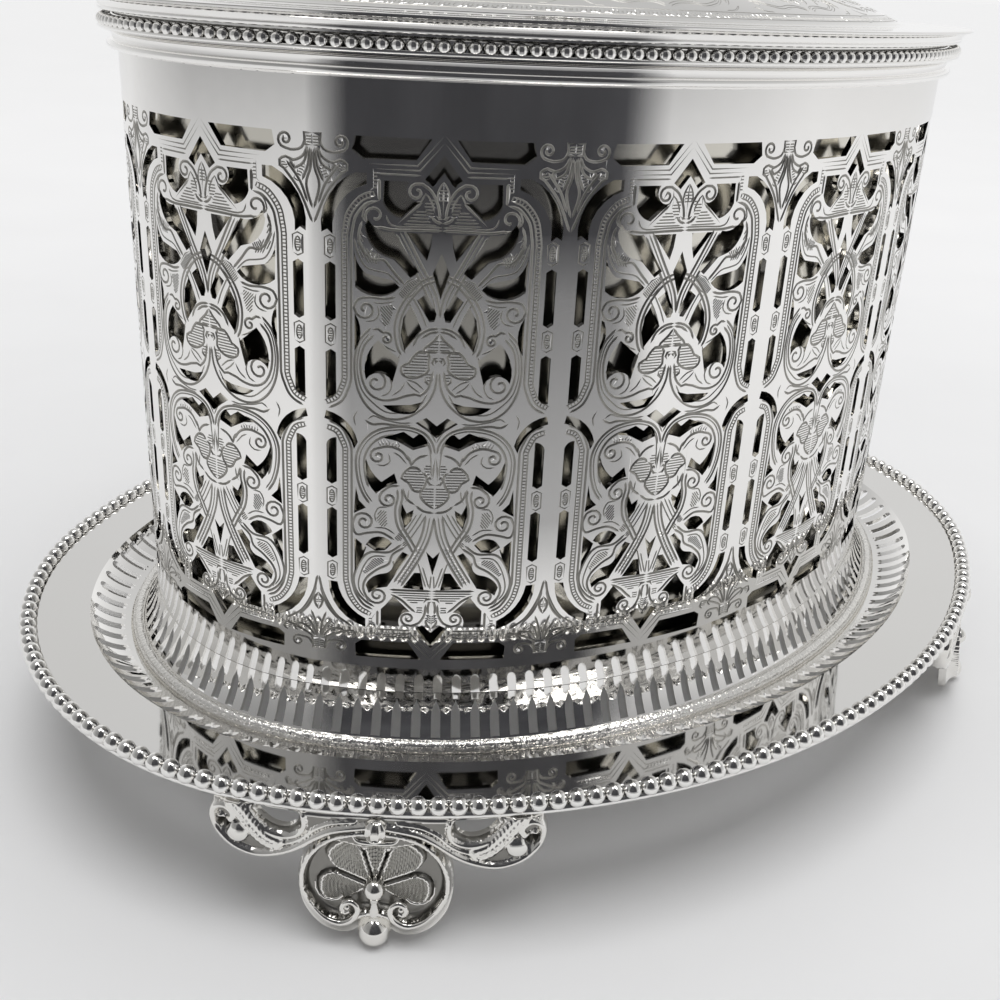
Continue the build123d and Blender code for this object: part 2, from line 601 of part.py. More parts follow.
outer_knuckles = [along_hinge * Pos(0, 0, side * (outer_start + half_knuckle))
                  * Cylinder(KNUCKLE_RADIUS, KNUCKLE_LENGTH) for side in (-1, 1)]
notch_z = HINGE_Z - KNUCKLE_RADIUS - KNUCKLE_GAP
leaf_body = block(hinge_end, leaf_inner_y, leaf_inner_y + LEAF_THICKNESS, LEAF_FOOT_Z, HINGE_Z)
leaf_body -= block(outer_start, leaf_inner_y - 1, leaf_inner_y + 2, notch_z, HINGE_Z + 1)
leaf_foot = block(hinge_end, HALF_WIDTH - 2, leaf_inner_y + LEAF_THICKNESS / 2, LEAF_FOOT_Z,
                  LEAF_FOOT_Z + LEAF_FOOT_HEIGHT)
leaf_foot -= slab(0, LEAF_FOOT_Z - 1, LEAF_FOOT_Z + LEAF_FOOT_HEIGHT + 1)
leaf_body = leaf_body + [leaf_foot] + outer_knuckles
leaf_body -= along_hinge * Cylinder(PIN_RADIUS, 4 * hinge_end)
save(leaf_body, "hinge_leaf_body")

strap_foot_z = RIM_TOP_Z + LID_RELIEF + 0.35
strap = block(half_knuckle, HALF_WIDTH + 1.5, hinge_y, strap_foot_z, LID_EDGE_Z - 0.1) - lid_rim
leaf_lid = along_hinge * Cylinder(KNUCKLE_RADIUS, KNUCKLE_LENGTH) + strap
leaf_lid -= along_hinge * Cylinder(PIN_RADIUS + PIN_CLEARANCE, 4 * hinge_end)
save(leaf_lid, "hinge_leaf_lid")

pin_heads = [along_hinge * Pos(0, 0, side * (hinge_end + PIN_HEAD_LENGTH / 2))
             * Cylinder(PIN_HEAD_RADIUS, PIN_HEAD_LENGTH) for side in (-1, 1)]
save(along_hinge * Cylinder(PIN_RADIUS, 2 * hinge_end) + pin_heads, "hinge_pin")

# ---- feet ------------------------------------------------------------------------------------------
# A rimmed shell that leans out over a ball, with leafy wings which follow
# the oval and are soldered under the beaded strip.
foot_dx = FOOT_BALL_X - shoulder_centre[0]
foot_dy = -FOOT_BALL_Y - shoulder_centre[1]
foot_angle = math.atan2(foot_dy, foot_dx)
foot_offset = math.hypot(foot_dx, foot_dy) - SHOULDER_RADIUS
foot_place = facing(1, foot_angle, foot_offset, 0)

half_shell = SHELL_WIDTH / 2
half_height = SHELL_HEIGHT / 2
shell = extrude(Ellipse(half_shell, half_height), SHELL_DEPTH / 2, both=True)
shell_rim = Ellipse(half_shell, half_height) - Ellipse(half_shell - SHELL_RIM, half_height - SHELL_RIM)
shell += extrude(shell_rim, SHELL_DEPTH / 2 + 0.8)
lobe_length = half_height - SHELL_RIM + 1.5
for k in range(SHELL_LOBES):
    turn = Rot(0, 0, (k - (SHELL_LOBES - 1) / 2) * 24)
    shell += Pos(0, -2.5, SHELL_DEPTH / 2 - 0.2) * turn * Pos(0, lobe_length / 2, 0) * Rot(90, 0, 0) \
        * Cylinder(0.9, lobe_length)
for side in (-1, 1):
    shell += Pos(side * 4.8, -4.2, SHELL_DEPTH / 2) * Cylinder(2.1, 1.4)
shell += Pos(0, -3.0, SHELL_DEPTH / 2) * Sphere(1.3)
shell = Pos(0, SHELL_CENTRE_Z, -1.0) * Rot(-SHELL_LEAN, 0, 0) * shell

ball = Pos(0, FOOT_BALL_RADIUS - FOOT_WORN_FLAT, 0) * Sphere(FOOT_BALL_RADIUS)
bud = Pos(0, 20.9, 0.3) * Sphere(1.9)
neck = Pos(0, 20.9, -1.2) * Cylinder(1.2, 2.4)
pad_top = RIM_STRIP_FOOT_Z
pad = Pos(0, pad_top - 4, -3.6) * Box(PAD_WIDTH, 8, PAD_DEPTH - 1)

wing_half = outline(
    (0, pad_top), (WING_REACH - 1.5, pad_top),
    ((WING_REACH, pad_top - 1.8), (WING_REACH - 1.8, pad_top - 3.4)),
    ((WING_REACH - 4.6, pad_top - 2.9), (WING_REACH - 7.0, pad_top - 4.8)),
    ((WING_REACH - 10.0, pad_top - 7.6), (WING_REACH - 12.4, pad_top - 11.2)),
    (10.0, pad_top - 14.0), (0, pad_top - 14.0),
)
wing_gap = outline(
    (13.2, pad_top - 2.0), (20.0, pad_top - 1.6),
    ((18.0, pad_top - 3.2), (16.2, pad_top - 5.8)),
    ((14.0, pad_top - 4.6), (13.2, pad_top - 2.0)),
)
wing_half -= wing_gap
wing_bars = extrude(wing_half, 16, both=True)
wing_bars = foot_place * (wing_bars + mirror(wing_bars, Plane.YZ))
wing_outer = RIM_STRIP_OUTER - 0.5
wing_band = quarter_of(rectangle(wing_outer - WING_THICKNESS, 0, wing_outer, pad_top))
foot = foot_place * (shell + [ball, bud, neck, pad]) + (wing_band & wing_bars)
foot = foot & Pos(100, -100, pad_top / 2) * Box(200, 200, pad_top)
save(foot, "foot_front_right")
save(mirror(foot, Plane.YZ), "foot_front_left")
save(mirror(foot, Plane.XZ), "foot_back_right")
save(mirror(mirror(foot, Plane.XZ), Plane.YZ), "foot_back_left")
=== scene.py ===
# %% [markdown]
# # A pierced silver biscuit jar
# Loads the fixed frame of solids and dresses it. Nearly every visible piece of this jar is silver
# plate, and a mirror shows every flat facet, so those pieces are rebuilt here as smooth surfaces.
# Only the hinge and the finial's stud, washer and nut stay the frame's own solids.

# %% The frame
import math

import bmesh
import bpy
import numpy as np
from mathutils import Matrix, Vector
from mathutils.geometry import delaunay_2d_cdt
from mathutils.kdtree import KDTree


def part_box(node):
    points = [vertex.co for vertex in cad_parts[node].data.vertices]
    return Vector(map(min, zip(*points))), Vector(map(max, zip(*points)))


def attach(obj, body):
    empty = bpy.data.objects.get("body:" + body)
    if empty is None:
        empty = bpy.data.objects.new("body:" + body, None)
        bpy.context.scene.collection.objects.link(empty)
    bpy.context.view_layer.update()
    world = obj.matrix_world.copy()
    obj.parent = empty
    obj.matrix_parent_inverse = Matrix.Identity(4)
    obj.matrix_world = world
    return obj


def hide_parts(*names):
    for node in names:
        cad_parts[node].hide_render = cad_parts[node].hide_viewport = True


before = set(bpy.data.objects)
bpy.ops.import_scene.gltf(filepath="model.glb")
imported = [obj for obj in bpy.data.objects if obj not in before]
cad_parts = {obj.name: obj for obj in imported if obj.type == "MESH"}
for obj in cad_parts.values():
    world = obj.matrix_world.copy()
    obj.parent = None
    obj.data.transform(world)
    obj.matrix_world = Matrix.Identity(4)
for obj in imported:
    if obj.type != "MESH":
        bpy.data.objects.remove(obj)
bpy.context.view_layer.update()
MM = 0.001

# %% [markdown]
# ## The oval
# The maker bends each of the jar's twelve panels to one radius, so the oval is twelve arcs of
# equal length: front, shoulder, end and back again. Everything on the jar follows that line at
# some distance outwards, its offset, so one function that finds a place on the oval is enough.

# %% The oval as twelve arcs
FRONT_RADIUS = 107.7
SHOULDER_RADIUS = 91.0
END_RADIUS = 45.1
PANELS = 12
RADII = (FRONT_RADIUS, SHOULDER_RADIUS, END_RADIUS)
PANEL_WIDTH = (math.pi / 2) / sum(1 / radius for radius in RADII)


def oval_arcs():
    """One row for each panel, from the front's middle towards +X: centre, radius, start, turn."""
    turns = [PANEL_WIDTH / radius for radius in RADII]
    starts = [-math.pi / 2, -math.pi / 2 + turns[0], -turns[2]]
    first_step = FRONT_RADIUS - SHOULDER_RADIUS
    second_step = SHOULDER_RADIUS - END_RADIUS
    front_y = -first_step * math.sin(starts[1]) - second_step * math.sin(starts[2])
    shoulder = (first_step * math.cos(starts[1]), front_y + first_step * math.sin(starts[1]))
    end = (shoulder[0] + second_step * math.cos(starts[2]), 0.0)
    centres = ((0.0, front_y), shoulder, end)
    order = [(k, 1, 1) for k in (0, 1, 2)] + [(k, 1, -1) for k in (2, 1, 0)]
    order += [(k, -1, -1) for k in (0, 1, 2)] + [(k, -1, 1) for k in (2, 1, 0)]
    rows = []
    start = -math.pi / 2
    for k, flip_x, flip_y in order:
        rows.append((centres[k][0] * flip_x, centres[k][1] * flip_y, RADII[k], start, turns[k]))
        start += turns[k]
    return np.array(rows)


ARCS = oval_arcs()


def on_oval(panel, offset=0.0):
    """Places and outward directions for panel numbers such as 2.5, the middle of the third."""
    panel = np.asarray(panel, float) % PANELS
    k = np.minimum(panel.astype(int), PANELS - 1)
    x, y, radius, start, turn = ARCS[k].T
    angle = start + turn * (panel - k)
    outward = np.stack([np.cos(angle), np.sin(angle)], -1)
    return np.stack([x, y], -1) + outward * (radius + offset)[..., None], outward


_, wall_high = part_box("pierced_wall")
half_length = on_oval(3.0)[0][0]
print("wall's half length %.2f mm, the frame's %.2f mm" % (half_length, wall_high.x / MM))

# %% [markdown]
# ## Helpers for meshes
# Shapes are first made as loose points and faces, then turned into an object. Round pieces are
# rings of points joined by quads, so one helper joins rings and one more finishes the object.


# %% Objects and rings
def linked(name, data):
    """A new object in the scene."""
    made = bpy.data.objects.new(name, data)
    bpy.context.collection.objects.link(made)
    return made


def mesh_object(name, work):
    """A plain object from a bmesh, which is freed."""
    mesh = bpy.data.meshes.new(name)
    work.to_mesh(mesh)
    work.free()
    return linked(name, mesh)


def smooth_object(name, work, materials, crease=None):
    """A smooth object from a bmesh in metres, with edges sharp from the crease angle in degrees."""
    for face in work.faces:
        face.smooth = True
    made = mesh_object(name, work)
    if crease:
        made.data.set_sharp_from_angle(angle=math.radians(crease))
    for material in materials:
        made.data.materials.append(material)
    return made


def ring_skin(work, rings, capped=True, turned_over=False):
    """Joins rings of points with quads and closes the two ends."""
    for near, far in zip(rings, rings[1:]):
        for i in range(len(near)):
            j = (i + 1) % len(near)
            quad = (near[j], near[i], far[i], far[j]) if turned_over else (near[i], near[j], far[j], far[i])
            work.faces.new(quad)
    if capped:
        work.faces.new(rings[0] if turned_over else rings[0][::-1])
        work.faces.new(rings[-1][::-1] if turned_over else rings[-1])


def triangle_count(mesh):
    return sum(len(face.vertices) - 2 for face in mesh.polygons)


# %% [markdown]
# ## Silver plate
# Polished silver is a mirror with faint wiping marks and, in its hollows, a warm brown haze.
# The colour stays pale; the life comes from slight changes in roughness. A noise stretched in
# one direction gives the marks, and a soft large noise gives the haze.


# %% Silver finishes
def node(tree, kind, at, inputs=None, **values):
    """Adds a node at a place, with its settings and the constants on its sockets."""
    made = tree.nodes.new(kind)
    made.location = at
    for name, value in values.items():
        setattr(made, name, value)
    for socket, value in (inputs or {}).items():
        made.inputs[socket].default_value = value
    return made


def connect(tree, *rows):
    """Links sockets: each row is a node, its output, the next node and its input."""
    for source, output, target, socket in rows:
        tree.links.new(source.outputs[output], target.inputs[socket])


def silver(name, colour, haze, roughness, marks, bump=0.0, bump_scale=400.0, stretch=(1, 1, 6)):
    material = bpy.data.materials.new(name)
    material.use_nodes = True
    tree = material.node_tree
    tree.nodes.clear()
    out = node(tree, "ShaderNodeOutputMaterial", (600, 0))
    shader = node(tree, "ShaderNodeBsdfPrincipled", (300, 0), {"Metallic": 1.0})
    place = node(tree, "ShaderNodeTexCoord", (-900, 0))
    mapping = node(tree, "ShaderNodeMapping", (-700, 0), {"Scale": stretch})
    wiping = node(tree, "ShaderNodeTexNoise", (-500, 100), {"Scale": 300.0, "Detail": 4.0})
    clouds = node(tree, "ShaderNodeTexNoise", (-500, -200), {"Scale": 28.0, "Detail": 3.0})
    gloss = node(tree, "ShaderNodeMapRange", (-250, 100), {"To Min": roughness, "To Max": roughness + marks})
    tint = node(tree, "ShaderNodeMix", (-50, -200), {"A": (*colour, 1), "B": (*haze, 1)}, data_type="RGBA")
    connect(tree, (place, "Object", mapping, "Vector"), (mapping, "Vector", wiping, "Vector"),
        (place, "Object", clouds, "Vector"), (wiping, "Fac", gloss, "Value"),
        (clouds, "Fac", tint, "Factor"), (gloss, "Result", shader, "Roughness"),
        (tint, "Result", shader, "Base Color"))
    if bump:
        grain = node(tree, "ShaderNodeTexNoise", (-500, -500), {"Scale": bump_scale, "Detail": 2.0})
        raise_it = node(tree, "ShaderNodeBump", (50, -450), {"Strength": bump, "Distance": 0.0002})
        connect(tree, (place, "Object", grain, "Vector"), (grain, "Fac", raise_it, "Height"),
            (raise_it, "Normal", shader, "Normal"))
    connect(tree, (shader, "BSDF", out, "Surface"))
    return material


PALE_SILVER = (0.94, 0.93, 0.915)
WARM_SILVER = (0.86, 0.84, 0.79)
MIRROR = silver("mirror_silver", PALE_SILVER, (0.90, 0.89, 0.865), 0.02, 0.05)
CAST = silver("cast_silver", PALE_SILVER, WARM_SILVER, 0.08, 0.08, bump=0.12)
BEAD = silver("bead_silver", PALE_SILVER, (0.89, 0.88, 0.85), 0.05, 0.05)
STIPPLED = silver("stippled_silver", PALE_SILVER, WARM_SILVER, 0.12, 0.12, bump=0.9, bump_scale=1500.0)
ENGRAVED = silver("engraved_silver", (0.42, 0.41, 0.39), (0.34, 0.33, 0.30), 0.34, 0.12)
# The liner's darker, browner colour is painted shade: it stands in for the dark reflections seen through the
# openings.
LINER_PAINTED_SHADE = silver("liner_silver", (0.80, 0.78, 0.72), (0.66, 0.63, 0.55), 0.10, 0.10)
STEEL = silver("drawn_steel", (0.60, 0.59, 0.57), (0.50, 0.49, 0.47), 0.22, 0.12, stretch=(6, 1, 1))
BRASS = silver("plain_brass", (0.80, 0.62, 0.33), (0.62, 0.46, 0.24), 0.25, 0.15)
POLISHED_CAST = silver("polished_cast_silver", (0.90, 0.89, 0.87), (0.80, 0.78, 0.73), 0.05, 0.08, bump=0.10,
    bump_scale=160.0)
# The dark colour of this finish is painted shade, laid on the sunk ground of the feet.
HOLLOW_PAINTED_SHADE = silver("silver_in_hollows", (0.34, 0.33, 0.31), (0.20, 0.195, 0.18), 0.25, 0.15, bump=0.2,
    bump_scale=300.0)


def fan_silver():
    """Stippled silver with painted shade, a darker colour all over the lobes: rows of dots that follow the
    piece's own UV map.
    """
    material = silver("fan_silver", (0.50, 0.49, 0.46), (0.36, 0.35, 0.32), 0.22, 0.16)
    tree = material.node_tree
    place = node(tree, "ShaderNodeUVMap", (-900, -600), uv_map="fan")
    dots = node(tree, "ShaderNodeTexVoronoi", (-650, -600), {"Scale": 1.0, "Randomness": 0.25},
        voronoi_dimensions="2D")
    sink = node(tree, "ShaderNodeBump", (-350, -600), {"Strength": 1.0, "Distance": 0.00025}, invert=True)
    connect(tree, (place, "UV", dots, "Vector"), (dots, "Distance", sink, "Height"))
    shader = next(n for n in tree.nodes if n.type == "BSDF_PRINCIPLED")
    connect(tree, (sink, "Normal", shader, "Normal"))
    return material


FAN_PAINTED_SHADE = fan_silver()
print("finishes:", len(bpy.data.materials))

# %% [markdown]
# ## Bending work round the oval
# A silversmith pierces and chases a strip while it is flat, then bends it. The same order works
# here: a flat cell holds one repeat of the pattern, with x along the strip, y outwards and z up.
# One Geometry Nodes tree lays the copies in a row and bends the row round the oval, by looking
# up each point's share of the way along a path curve.


# %% The path curves
def oval_path(offset):
    """A closed curve round the jar at an offset, as fine as a mirror needs."""
    steps = 60
    places, _ = on_oval(np.arange(PANELS * steps) / steps, offset)
    curve = bpy.data.curves.new("oval_path", "CURVE")
    curve.dimensions = "3D"
    spline = curve.splines.new("POLY")
    spline.points.add(len(places) - 1)
    flat = np.column_stack([places * MM, np.zeros(len(places)), np.ones(len(places))])
    spline.points.foreach_set("co", flat.ravel())
    spline.use_cyclic_u = True
    path = linked("oval_path", curve)
    path.hide_render = True
    return path


# %% The bending tree
def new_tree(name, *inputs):
    """A Geometry Nodes tree with its named sockets, and its input and output nodes."""
    tree = bpy.data.node_groups.new(name, "GeometryNodeTree")
    for label, kind in (("Geometry", "Geometry"), *inputs):
        tree.interface.new_socket(label, in_out="INPUT", socket_type="NodeSocket" + kind)
    tree.interface.new_socket("Geometry", in_out="OUTPUT", socket_type="NodeSocketGeometry")
    return tree, node(tree, "NodeGroupInput", (-1400, 0)), node(tree, "NodeGroupOutput", (1400, 0))


def bending_tree():
    tree, given, result = new_tree("bend_round_the_oval", ("Path", "Object"), ("Path offset", "Float"),
        ("Pitch", "Float"), ("Copies", "Int"), ("Copies all round", "Int"),
        ("Start", "Float"), ("Finish", "Material"))
    step = node(tree, "ShaderNodeCombineXYZ", (-1200, -200))
    row = node(tree, "GeometryNodeMeshLine", (-1000, -100), mode="OFFSET")
    copies = node(tree, "GeometryNodeInstanceOnPoints", (-800, 0))
    real = node(tree, "GeometryNodeRealizeInstances", (-600, 0))
    connect(tree, (given, "Pitch", step, "X"), (given, "Copies", row, "Count"),
        (step, "Vector", row, "Offset"), (row, "Mesh", copies, "Points"),
        (given, "Geometry", copies, "Instance"), (copies, "Instances", real, "Geometry"))

    place = node(tree, "GeometryNodeInputPosition", (-800, -400))
    parts = node(tree, "ShaderNodeSeparateXYZ", (-600, -400))
    whole = node(tree, "ShaderNodeMath", (-600, -600), operation="MULTIPLY")
    from_start = node(tree, "ShaderNodeMath", (-400, -400), operation="ADD")
    share = node(tree, "ShaderNodeMath", (-200, -400), operation="DIVIDE")
    wrap = node(tree, "ShaderNodeMath", (-100, -550), {1: 1.0}, operation="FLOORED_MODULO")
    path = node(tree, "GeometryNodeObjectInfo", (-400, -800))
    sample = node(tree, "GeometryNodeSampleCurve", (0, -500), mode="FACTOR", use_all_curves=True)
    outward = node(tree, "ShaderNodeVectorMath", (200, -600), {1: (0, 0, 1)}, operation="CROSS_PRODUCT")
    unit = node(tree, "ShaderNodeVectorMath", (400, -600), operation="NORMALIZE")
    reach = node(tree, "ShaderNodeMath", (200, -800), operation="SUBTRACT")
    push = node(tree, "ShaderNodeVectorMath", (600, -600), operation="SCALE")
    rise = node(tree, "ShaderNodeCombineXYZ", (200, -950))
    there = node(tree, "ShaderNodeVectorMath", (600, -400), operation="ADD")
    lifted = node(tree, "ShaderNodeVectorMath", (800, -400), operation="ADD")
    moved = node(tree, "GeometryNodeSetPosition", (900, 0))
    smooth = node(tree, "GeometryNodeSetShadeSmooth", (1050, 0))
    finish = node(tree, "GeometryNodeSetMaterial", (1200, 0))
    connect(tree, (place, "Position", parts, "Vector"), (given, "Pitch", whole, 0),
        (given, "Copies all round", whole, 1), (parts, "X", from_start, 0),
        (given, "Start", from_start, 1), (from_start, "Value", share, 0), (whole, "Value", share, 1),
        (share, "Value", wrap, 0), (given, "Path", path, "Object"),
        (path, "Geometry", sample, "Curves"), (wrap, "Value", sample, "Factor"),
        (sample, "Tangent", outward, 0), (outward, "Vector", unit, 0), (parts, "Y", reach, 0),
        (given, "Path offset", reach, 1), (unit, "Vector", push, 0), (reach, "Value", push, "Scale"),
        (parts, "Z", rise, "Z"), (sample, "Position", there, 0), (push, "Vector", there, 1),
        (there, "Vector", lifted, 0), (rise, "Vector", lifted, 1),
        (real, "Geometry", moved, "Geometry"), (lifted, "Vector", moved, "Position"),
        (moved, "Geometry", smooth, "Geometry"), (smooth, "Geometry", finish, "Geometry"),
        (given, "Finish", finish, "Material"), (finish, "Geometry", result, "Geometry"))
    return tree


BENDING = bending_tree()
PATHS = {}
print("sockets of the bending tree:", len(BENDING.interface.items_tree))


# %% Running a tree, and bending with it
def path_at(offset):
    """The path curve at an offset, made once."""
    if offset not in PATHS:
        PATHS[offset] = oval_path(offset)
    return PATHS[offset]


def run_tree(obj, tree, values, crease=30.0, weld=0.004):
    """Evaluates a tree on a mesh object and returns the result as a plain welded mesh object."""
    modifier = obj.modifiers.new("shape", "NODES")
    modifier.node_group = tree
    for item in tree.interface.items_tree:
        if item.item_type == "SOCKET" and item.in_out == "INPUT" and item.name in values:
            modifier[item.identifier] = values[item.name]
    obj.update_tag()
    bpy.context.view_layer.update()
    graph = bpy.context.evaluated_depsgraph_get()
    mesh = bpy.data.meshes.new_from_object(obj.evaluated_get(graph), depsgraph=graph)
    obj.modifiers.remove(modifier)
    work = bmesh.new()
    work.from_mesh(mesh)
    bmesh.ops.remove_doubles(work, verts=work.verts, dist=weld * MM)
    ends = [edge for edge in work.edges if edge.is_boundary]
    if ends:
        bmesh.ops.edgeloop_fill(work, edges=ends)
    if work.calc_volume(signed=True) < 0:
        bmesh.ops.reverse_faces(work, faces=work.faces)
    work.to_mesh(mesh)
    work.free()
    name = obj.name
    bpy.data.objects.remove(obj)
    plain = linked(name, mesh)
    plain.name = name
    if crease:
        mesh.set_sharp_from_angle(angle=math.radians(crease))
    return plain


def bend(name, cell, pitch, copies, path_offset, material, start=0.0, crease=30.0, all_round=None):
    """Bends copies of a flat cell, given in millimetres as a bmesh, round the oval."""
    path = path_at(path_offset)
    for vert in cell.verts:
        vert.co *= MM
    flat = mesh_object(name, cell)
    values = {"Path": path, "Path offset": path_offset * MM, "Pitch": pitch * MM, "Copies": copies,
        "Copies all round": all_round or copies, "Start": start * MM, "Finish": material}
    made = run_tree(flat, BENDING, values, crease)
    print(name, "triangles:", triangle_count(made.data))
    return made


def path_length(offset):
    return float(((ARCS[:, 2] + offset) * ARCS[:, 4]).sum())


# %% [markdown]
# ## Mouldings
# Every moulding on the jar is a strip drawn through a shaped hole and bent round the oval: its
# section never changes. So a moulding is one short prism of that section, repeated and bent.
# A section is a list of (offset, height) points; a middle point between two others that
# carries a third value is the top of an arc.


# %% Sections and mouldings
def rounded(*steps, fine=8):
    """Points of a section. A step is a point, or a (through, to) pair for an arc."""
    points = [np.array(steps[0], float)]
    for step in steps[1:]:
        if not isinstance(step[0], tuple):
            points.append(np.array(step, float))
            continue
        a, m, b = points[-1], np.array(step[0], float), np.array(step[1], float)
        d = 2 * (a[0] * (m[1] - b[1]) + m[0] * (b[1] - a[1]) + b[0] * (a[1] - m[1]))
        cx = ((a @ a) * (m[1] - b[1]) + (m @ m) * (b[1] - a[1]) + (b @ b) * (a[1] - m[1])) / d
        cy = ((a @ a) * (b[0] - m[0]) + (m @ m) * (a[0] - b[0]) + (b @ b) * (m[0] - a[0])) / d
        centre = np.array([cx, cy])
        angles = [math.atan2(*(p - centre)[::-1]) for p in (a, m, b)]
        sweep = (angles[2] - angles[0]) % (2 * math.pi)
        if (angles[1] - angles[0]) % (2 * math.pi) > sweep:
            sweep -= 2 * math.pi
        radius = np.linalg.norm(a - centre)
        for share in np.linspace(0, 1, fine + 1)[1:]:
            angle = angles[0] + sweep * share
            points.append(centre + radius * np.array([math.cos(angle), math.sin(angle)]))
    return np.array(points)


def prism(section, pitch):
    """A strip of the closed section, one pitch long, without its two ends."""
    cell = bmesh.new()
    near = [cell.verts.new((0, y, z)) for y, z in section]
    far = [cell.verts.new((pitch, y, z)) for y, z in section]
    count = len(section)
    for i in range(count):
        j = (i + 1) % count
        cell.faces.new((near[i], far[i], far[j], near[j]))
    area = sum(section[i][0] * section[(i + 1) % count][1] - section[(i + 1) % count][0] * section[i][1]
        for i in range(count))
    if area > 0:
        bmesh.ops.reverse_faces(cell, faces=cell.faces)
    return cell


MOULDING_STEPS = 240


def moulding(name, section, material):
    pitch = path_length(0.0) / MOULDING_STEPS
    return bend(name, prism(section, pitch), pitch, MOULDING_STEPS, 0.0, material)


# %% [markdown]
# ## Pierced sheet
# Piercing is done with a fine saw on flat metal. Here a flat outline with its openings is cut
# into triangles by a constrained Delaunay triangulation, together with a few grid lines, so
# that the sheet has points wherever it must bend. The front and the back of the sheet are the
# same triangles at two depths, and the sawn edges join them.


# %% Cutting openings in a flat sheet
def inside(points, loop):
    """Which points lie inside a closed loop."""
    x, y = points.T
    hit = np.zeros(len(points), bool)
    ends = np.roll(loop, -1, 0)
    for (x0, y0), (x1, y1) in zip(loop, ends):
        crosses = (y0 > y) != (y1 > y)
        with np.errstate(divide="ignore", invalid="ignore"):
            hit ^= crosses & (x < (x1 - x0) * (y - y0) / (y1 - y0) + x0)
    return hit


def add_line(drawing, line, closed=True):
    """Adds a line's points and edges to a drawing that is to be cut into triangles."""
    points, edges = drawing
    first, count = len(points), len(line)
    points.extend(map(tuple, line))
    edges.extend((first + i, first + (i + 1) % count) for i in range(count if closed else count - 1))


def panel_drawing(width, span, openings, columns, rows):
    """A drawing of a panel's border, its openings and the grid lines where it may bend."""
    drawing = ([], [])
    add_line(drawing, [(0, span[0]), (width, span[0]), (width, span[1]), (0, span[1])])
    for loop in openings:
        add_line(drawing, loop)
    for x in columns:
        add_line(drawing, [(x, span[0]), (x, span[1])], closed=False)
    for level in rows:
        add_line(drawing, [(0, level), (width, level)], closed=False)
    return drawing


def cut_up(drawing, closeness=1e-5):
    """Cuts a drawing into triangles that keep its lines: their places and their corner numbers."""
    points, edges = drawing
    flat, _, faces, _, _, _ = delaunay_2d_cdt([Vector(p) for p in points], edges, [], 0, closeness)
    return np.array([(v.x, v.y) for v in flat]), np.array(faces)


def drop_loose(work):
    bmesh.ops.delete(work, geom=[v for v in work.verts if not v.link_faces], context="VERTS")


def pierced_cell(width, span, openings, columns, rows, front, back):
    """A bmesh cell: width along the strip, span across it; front and back place its points."""
    flat, faces = cut_up(panel_drawing(width, span, openings, columns, rows))
    middles = flat[faces].mean(1)
    keep = np.ones(len(faces), bool)
    for loop in openings:
        keep &= ~inside(middles, np.array(loop))
    faces = faces[keep]
    cell = bmesh.new()
    top = [cell.verts.new(p) for p in front(flat)]
    bottom = [cell.verts.new(p) for p in back(flat)]
    seen = {}
    for a, b, c in faces:
        cell.faces.new((top[a], top[b], top[c]))
        cell.faces.new((bottom[c], bottom[b], bottom[a]))
        for i, j in ((a, b), (b, c), (c, a)):
            seen[(i, j)] = True
    for i, j in seen:
        if (j, i) in seen:
            continue
        on_side = all(flat[k][0] < 1e-4 for k in (i, j)) or all(flat[k][0] > width - 1e-4 for k in (i, j))
        if not on_side:
            cell.faces.new((top[j], top[i], bottom[i], bottom[j]))
    drop_loose(cell)
    return cell


def along_section(section):
    """Turns a section into two maps from (x, way along it) to the sheet's face and its back."""
    steps = np.linalg.norm(np.diff(section, axis=0), axis=1)
    marks = np.concatenate([[0], np.cumsum(steps)])
    slopes = np.gradient(section, marks, axis=0)
    normals = np.column_stack([-slopes[:, 1], slopes[:, 0]])
    normals /= np.linalg.norm(normals, axis=1)[:, None]

    def face(flat, depth=0.0):
        y, z = (np.interp(flat[:, 1], marks, section[:, k] - depth * normals[:, k]) for k in (0, 1))
        return np.column_stack([flat[:, 0], y, z])

    return marks, face


# %% [markdown]
# ## The tray
# The tray is spun and hammered from one sheet: a flat flange under the jar, a hollow border
# with sawn slots, and a broad plain band that mirrors the wall above it. The whole section is
# one cell, repeated once for each slot.

# %% Tray sheet
TRAY_SLOTS = 124
TRAY_THICKNESS = 0.9
SLOT_WIDTH = 1.95
SLOT_START = 1.05           # from the foot of the hollow border, along its surface
SLOT_END = 7.7
BORDER_MIDDLE = 9.1         # offset of the middle of the slotted border
tray_section = rounded((1.0, 20.0), (4.9, 20.0), ((5.25, 20.1), (5.6, 20.35)),
    ((9.3, 21.62), (12.8, 24.7)), (22.0, 25.08), ((22.25, 25.0), (22.3, 24.7)))
tray_marks, tray_face = along_section(tray_section)
foot_of_border = np.interp(5.6, tray_section[:30, 0], tray_marks[:30])
tray_pitch = path_length(BORDER_MIDDLE) / TRAY_SLOTS


def tray_slot(middle, first, last):
    half = SLOT_WIDTH / 2
    notch = [(-half, 0.35), (-half * 0.72, 0.0), (-half * 0.3, 0.28), (0, 0.75), (half * 0.3, 0.28),
        (half * 0.72, 0.0), (half, 0.35)]
    loop = [(middle + x, first + y) for x, y in notch]
    for step in range(9):
        angle = math.pi * step / 8
        loop.append((middle + half * math.cos(angle), last - half + half * math.sin(angle)))
    return loop


slot_loop = tray_slot(tray_pitch / 2, foot_of_border + SLOT_START, foot_of_border + SLOT_END)
tray_cell = pierced_cell(tray_pitch, (0, tray_marks[-1]), [slot_loop], [tray_pitch / 3, 2 * tray_pitch / 3],
    tray_marks[1:-1], tray_face, lambda flat: tray_face(flat, TRAY_THICKNESS))
tray = bend("tray", tray_cell, tray_pitch, TRAY_SLOTS, BORDER_MIDDLE, MIRROR)

# %% [markdown]
# ## The skirt
# The flared skirt is pierced with upright pointed flutes. It stands on the tray behind a cast
# ring, and its upper edge laps up inside the wall.

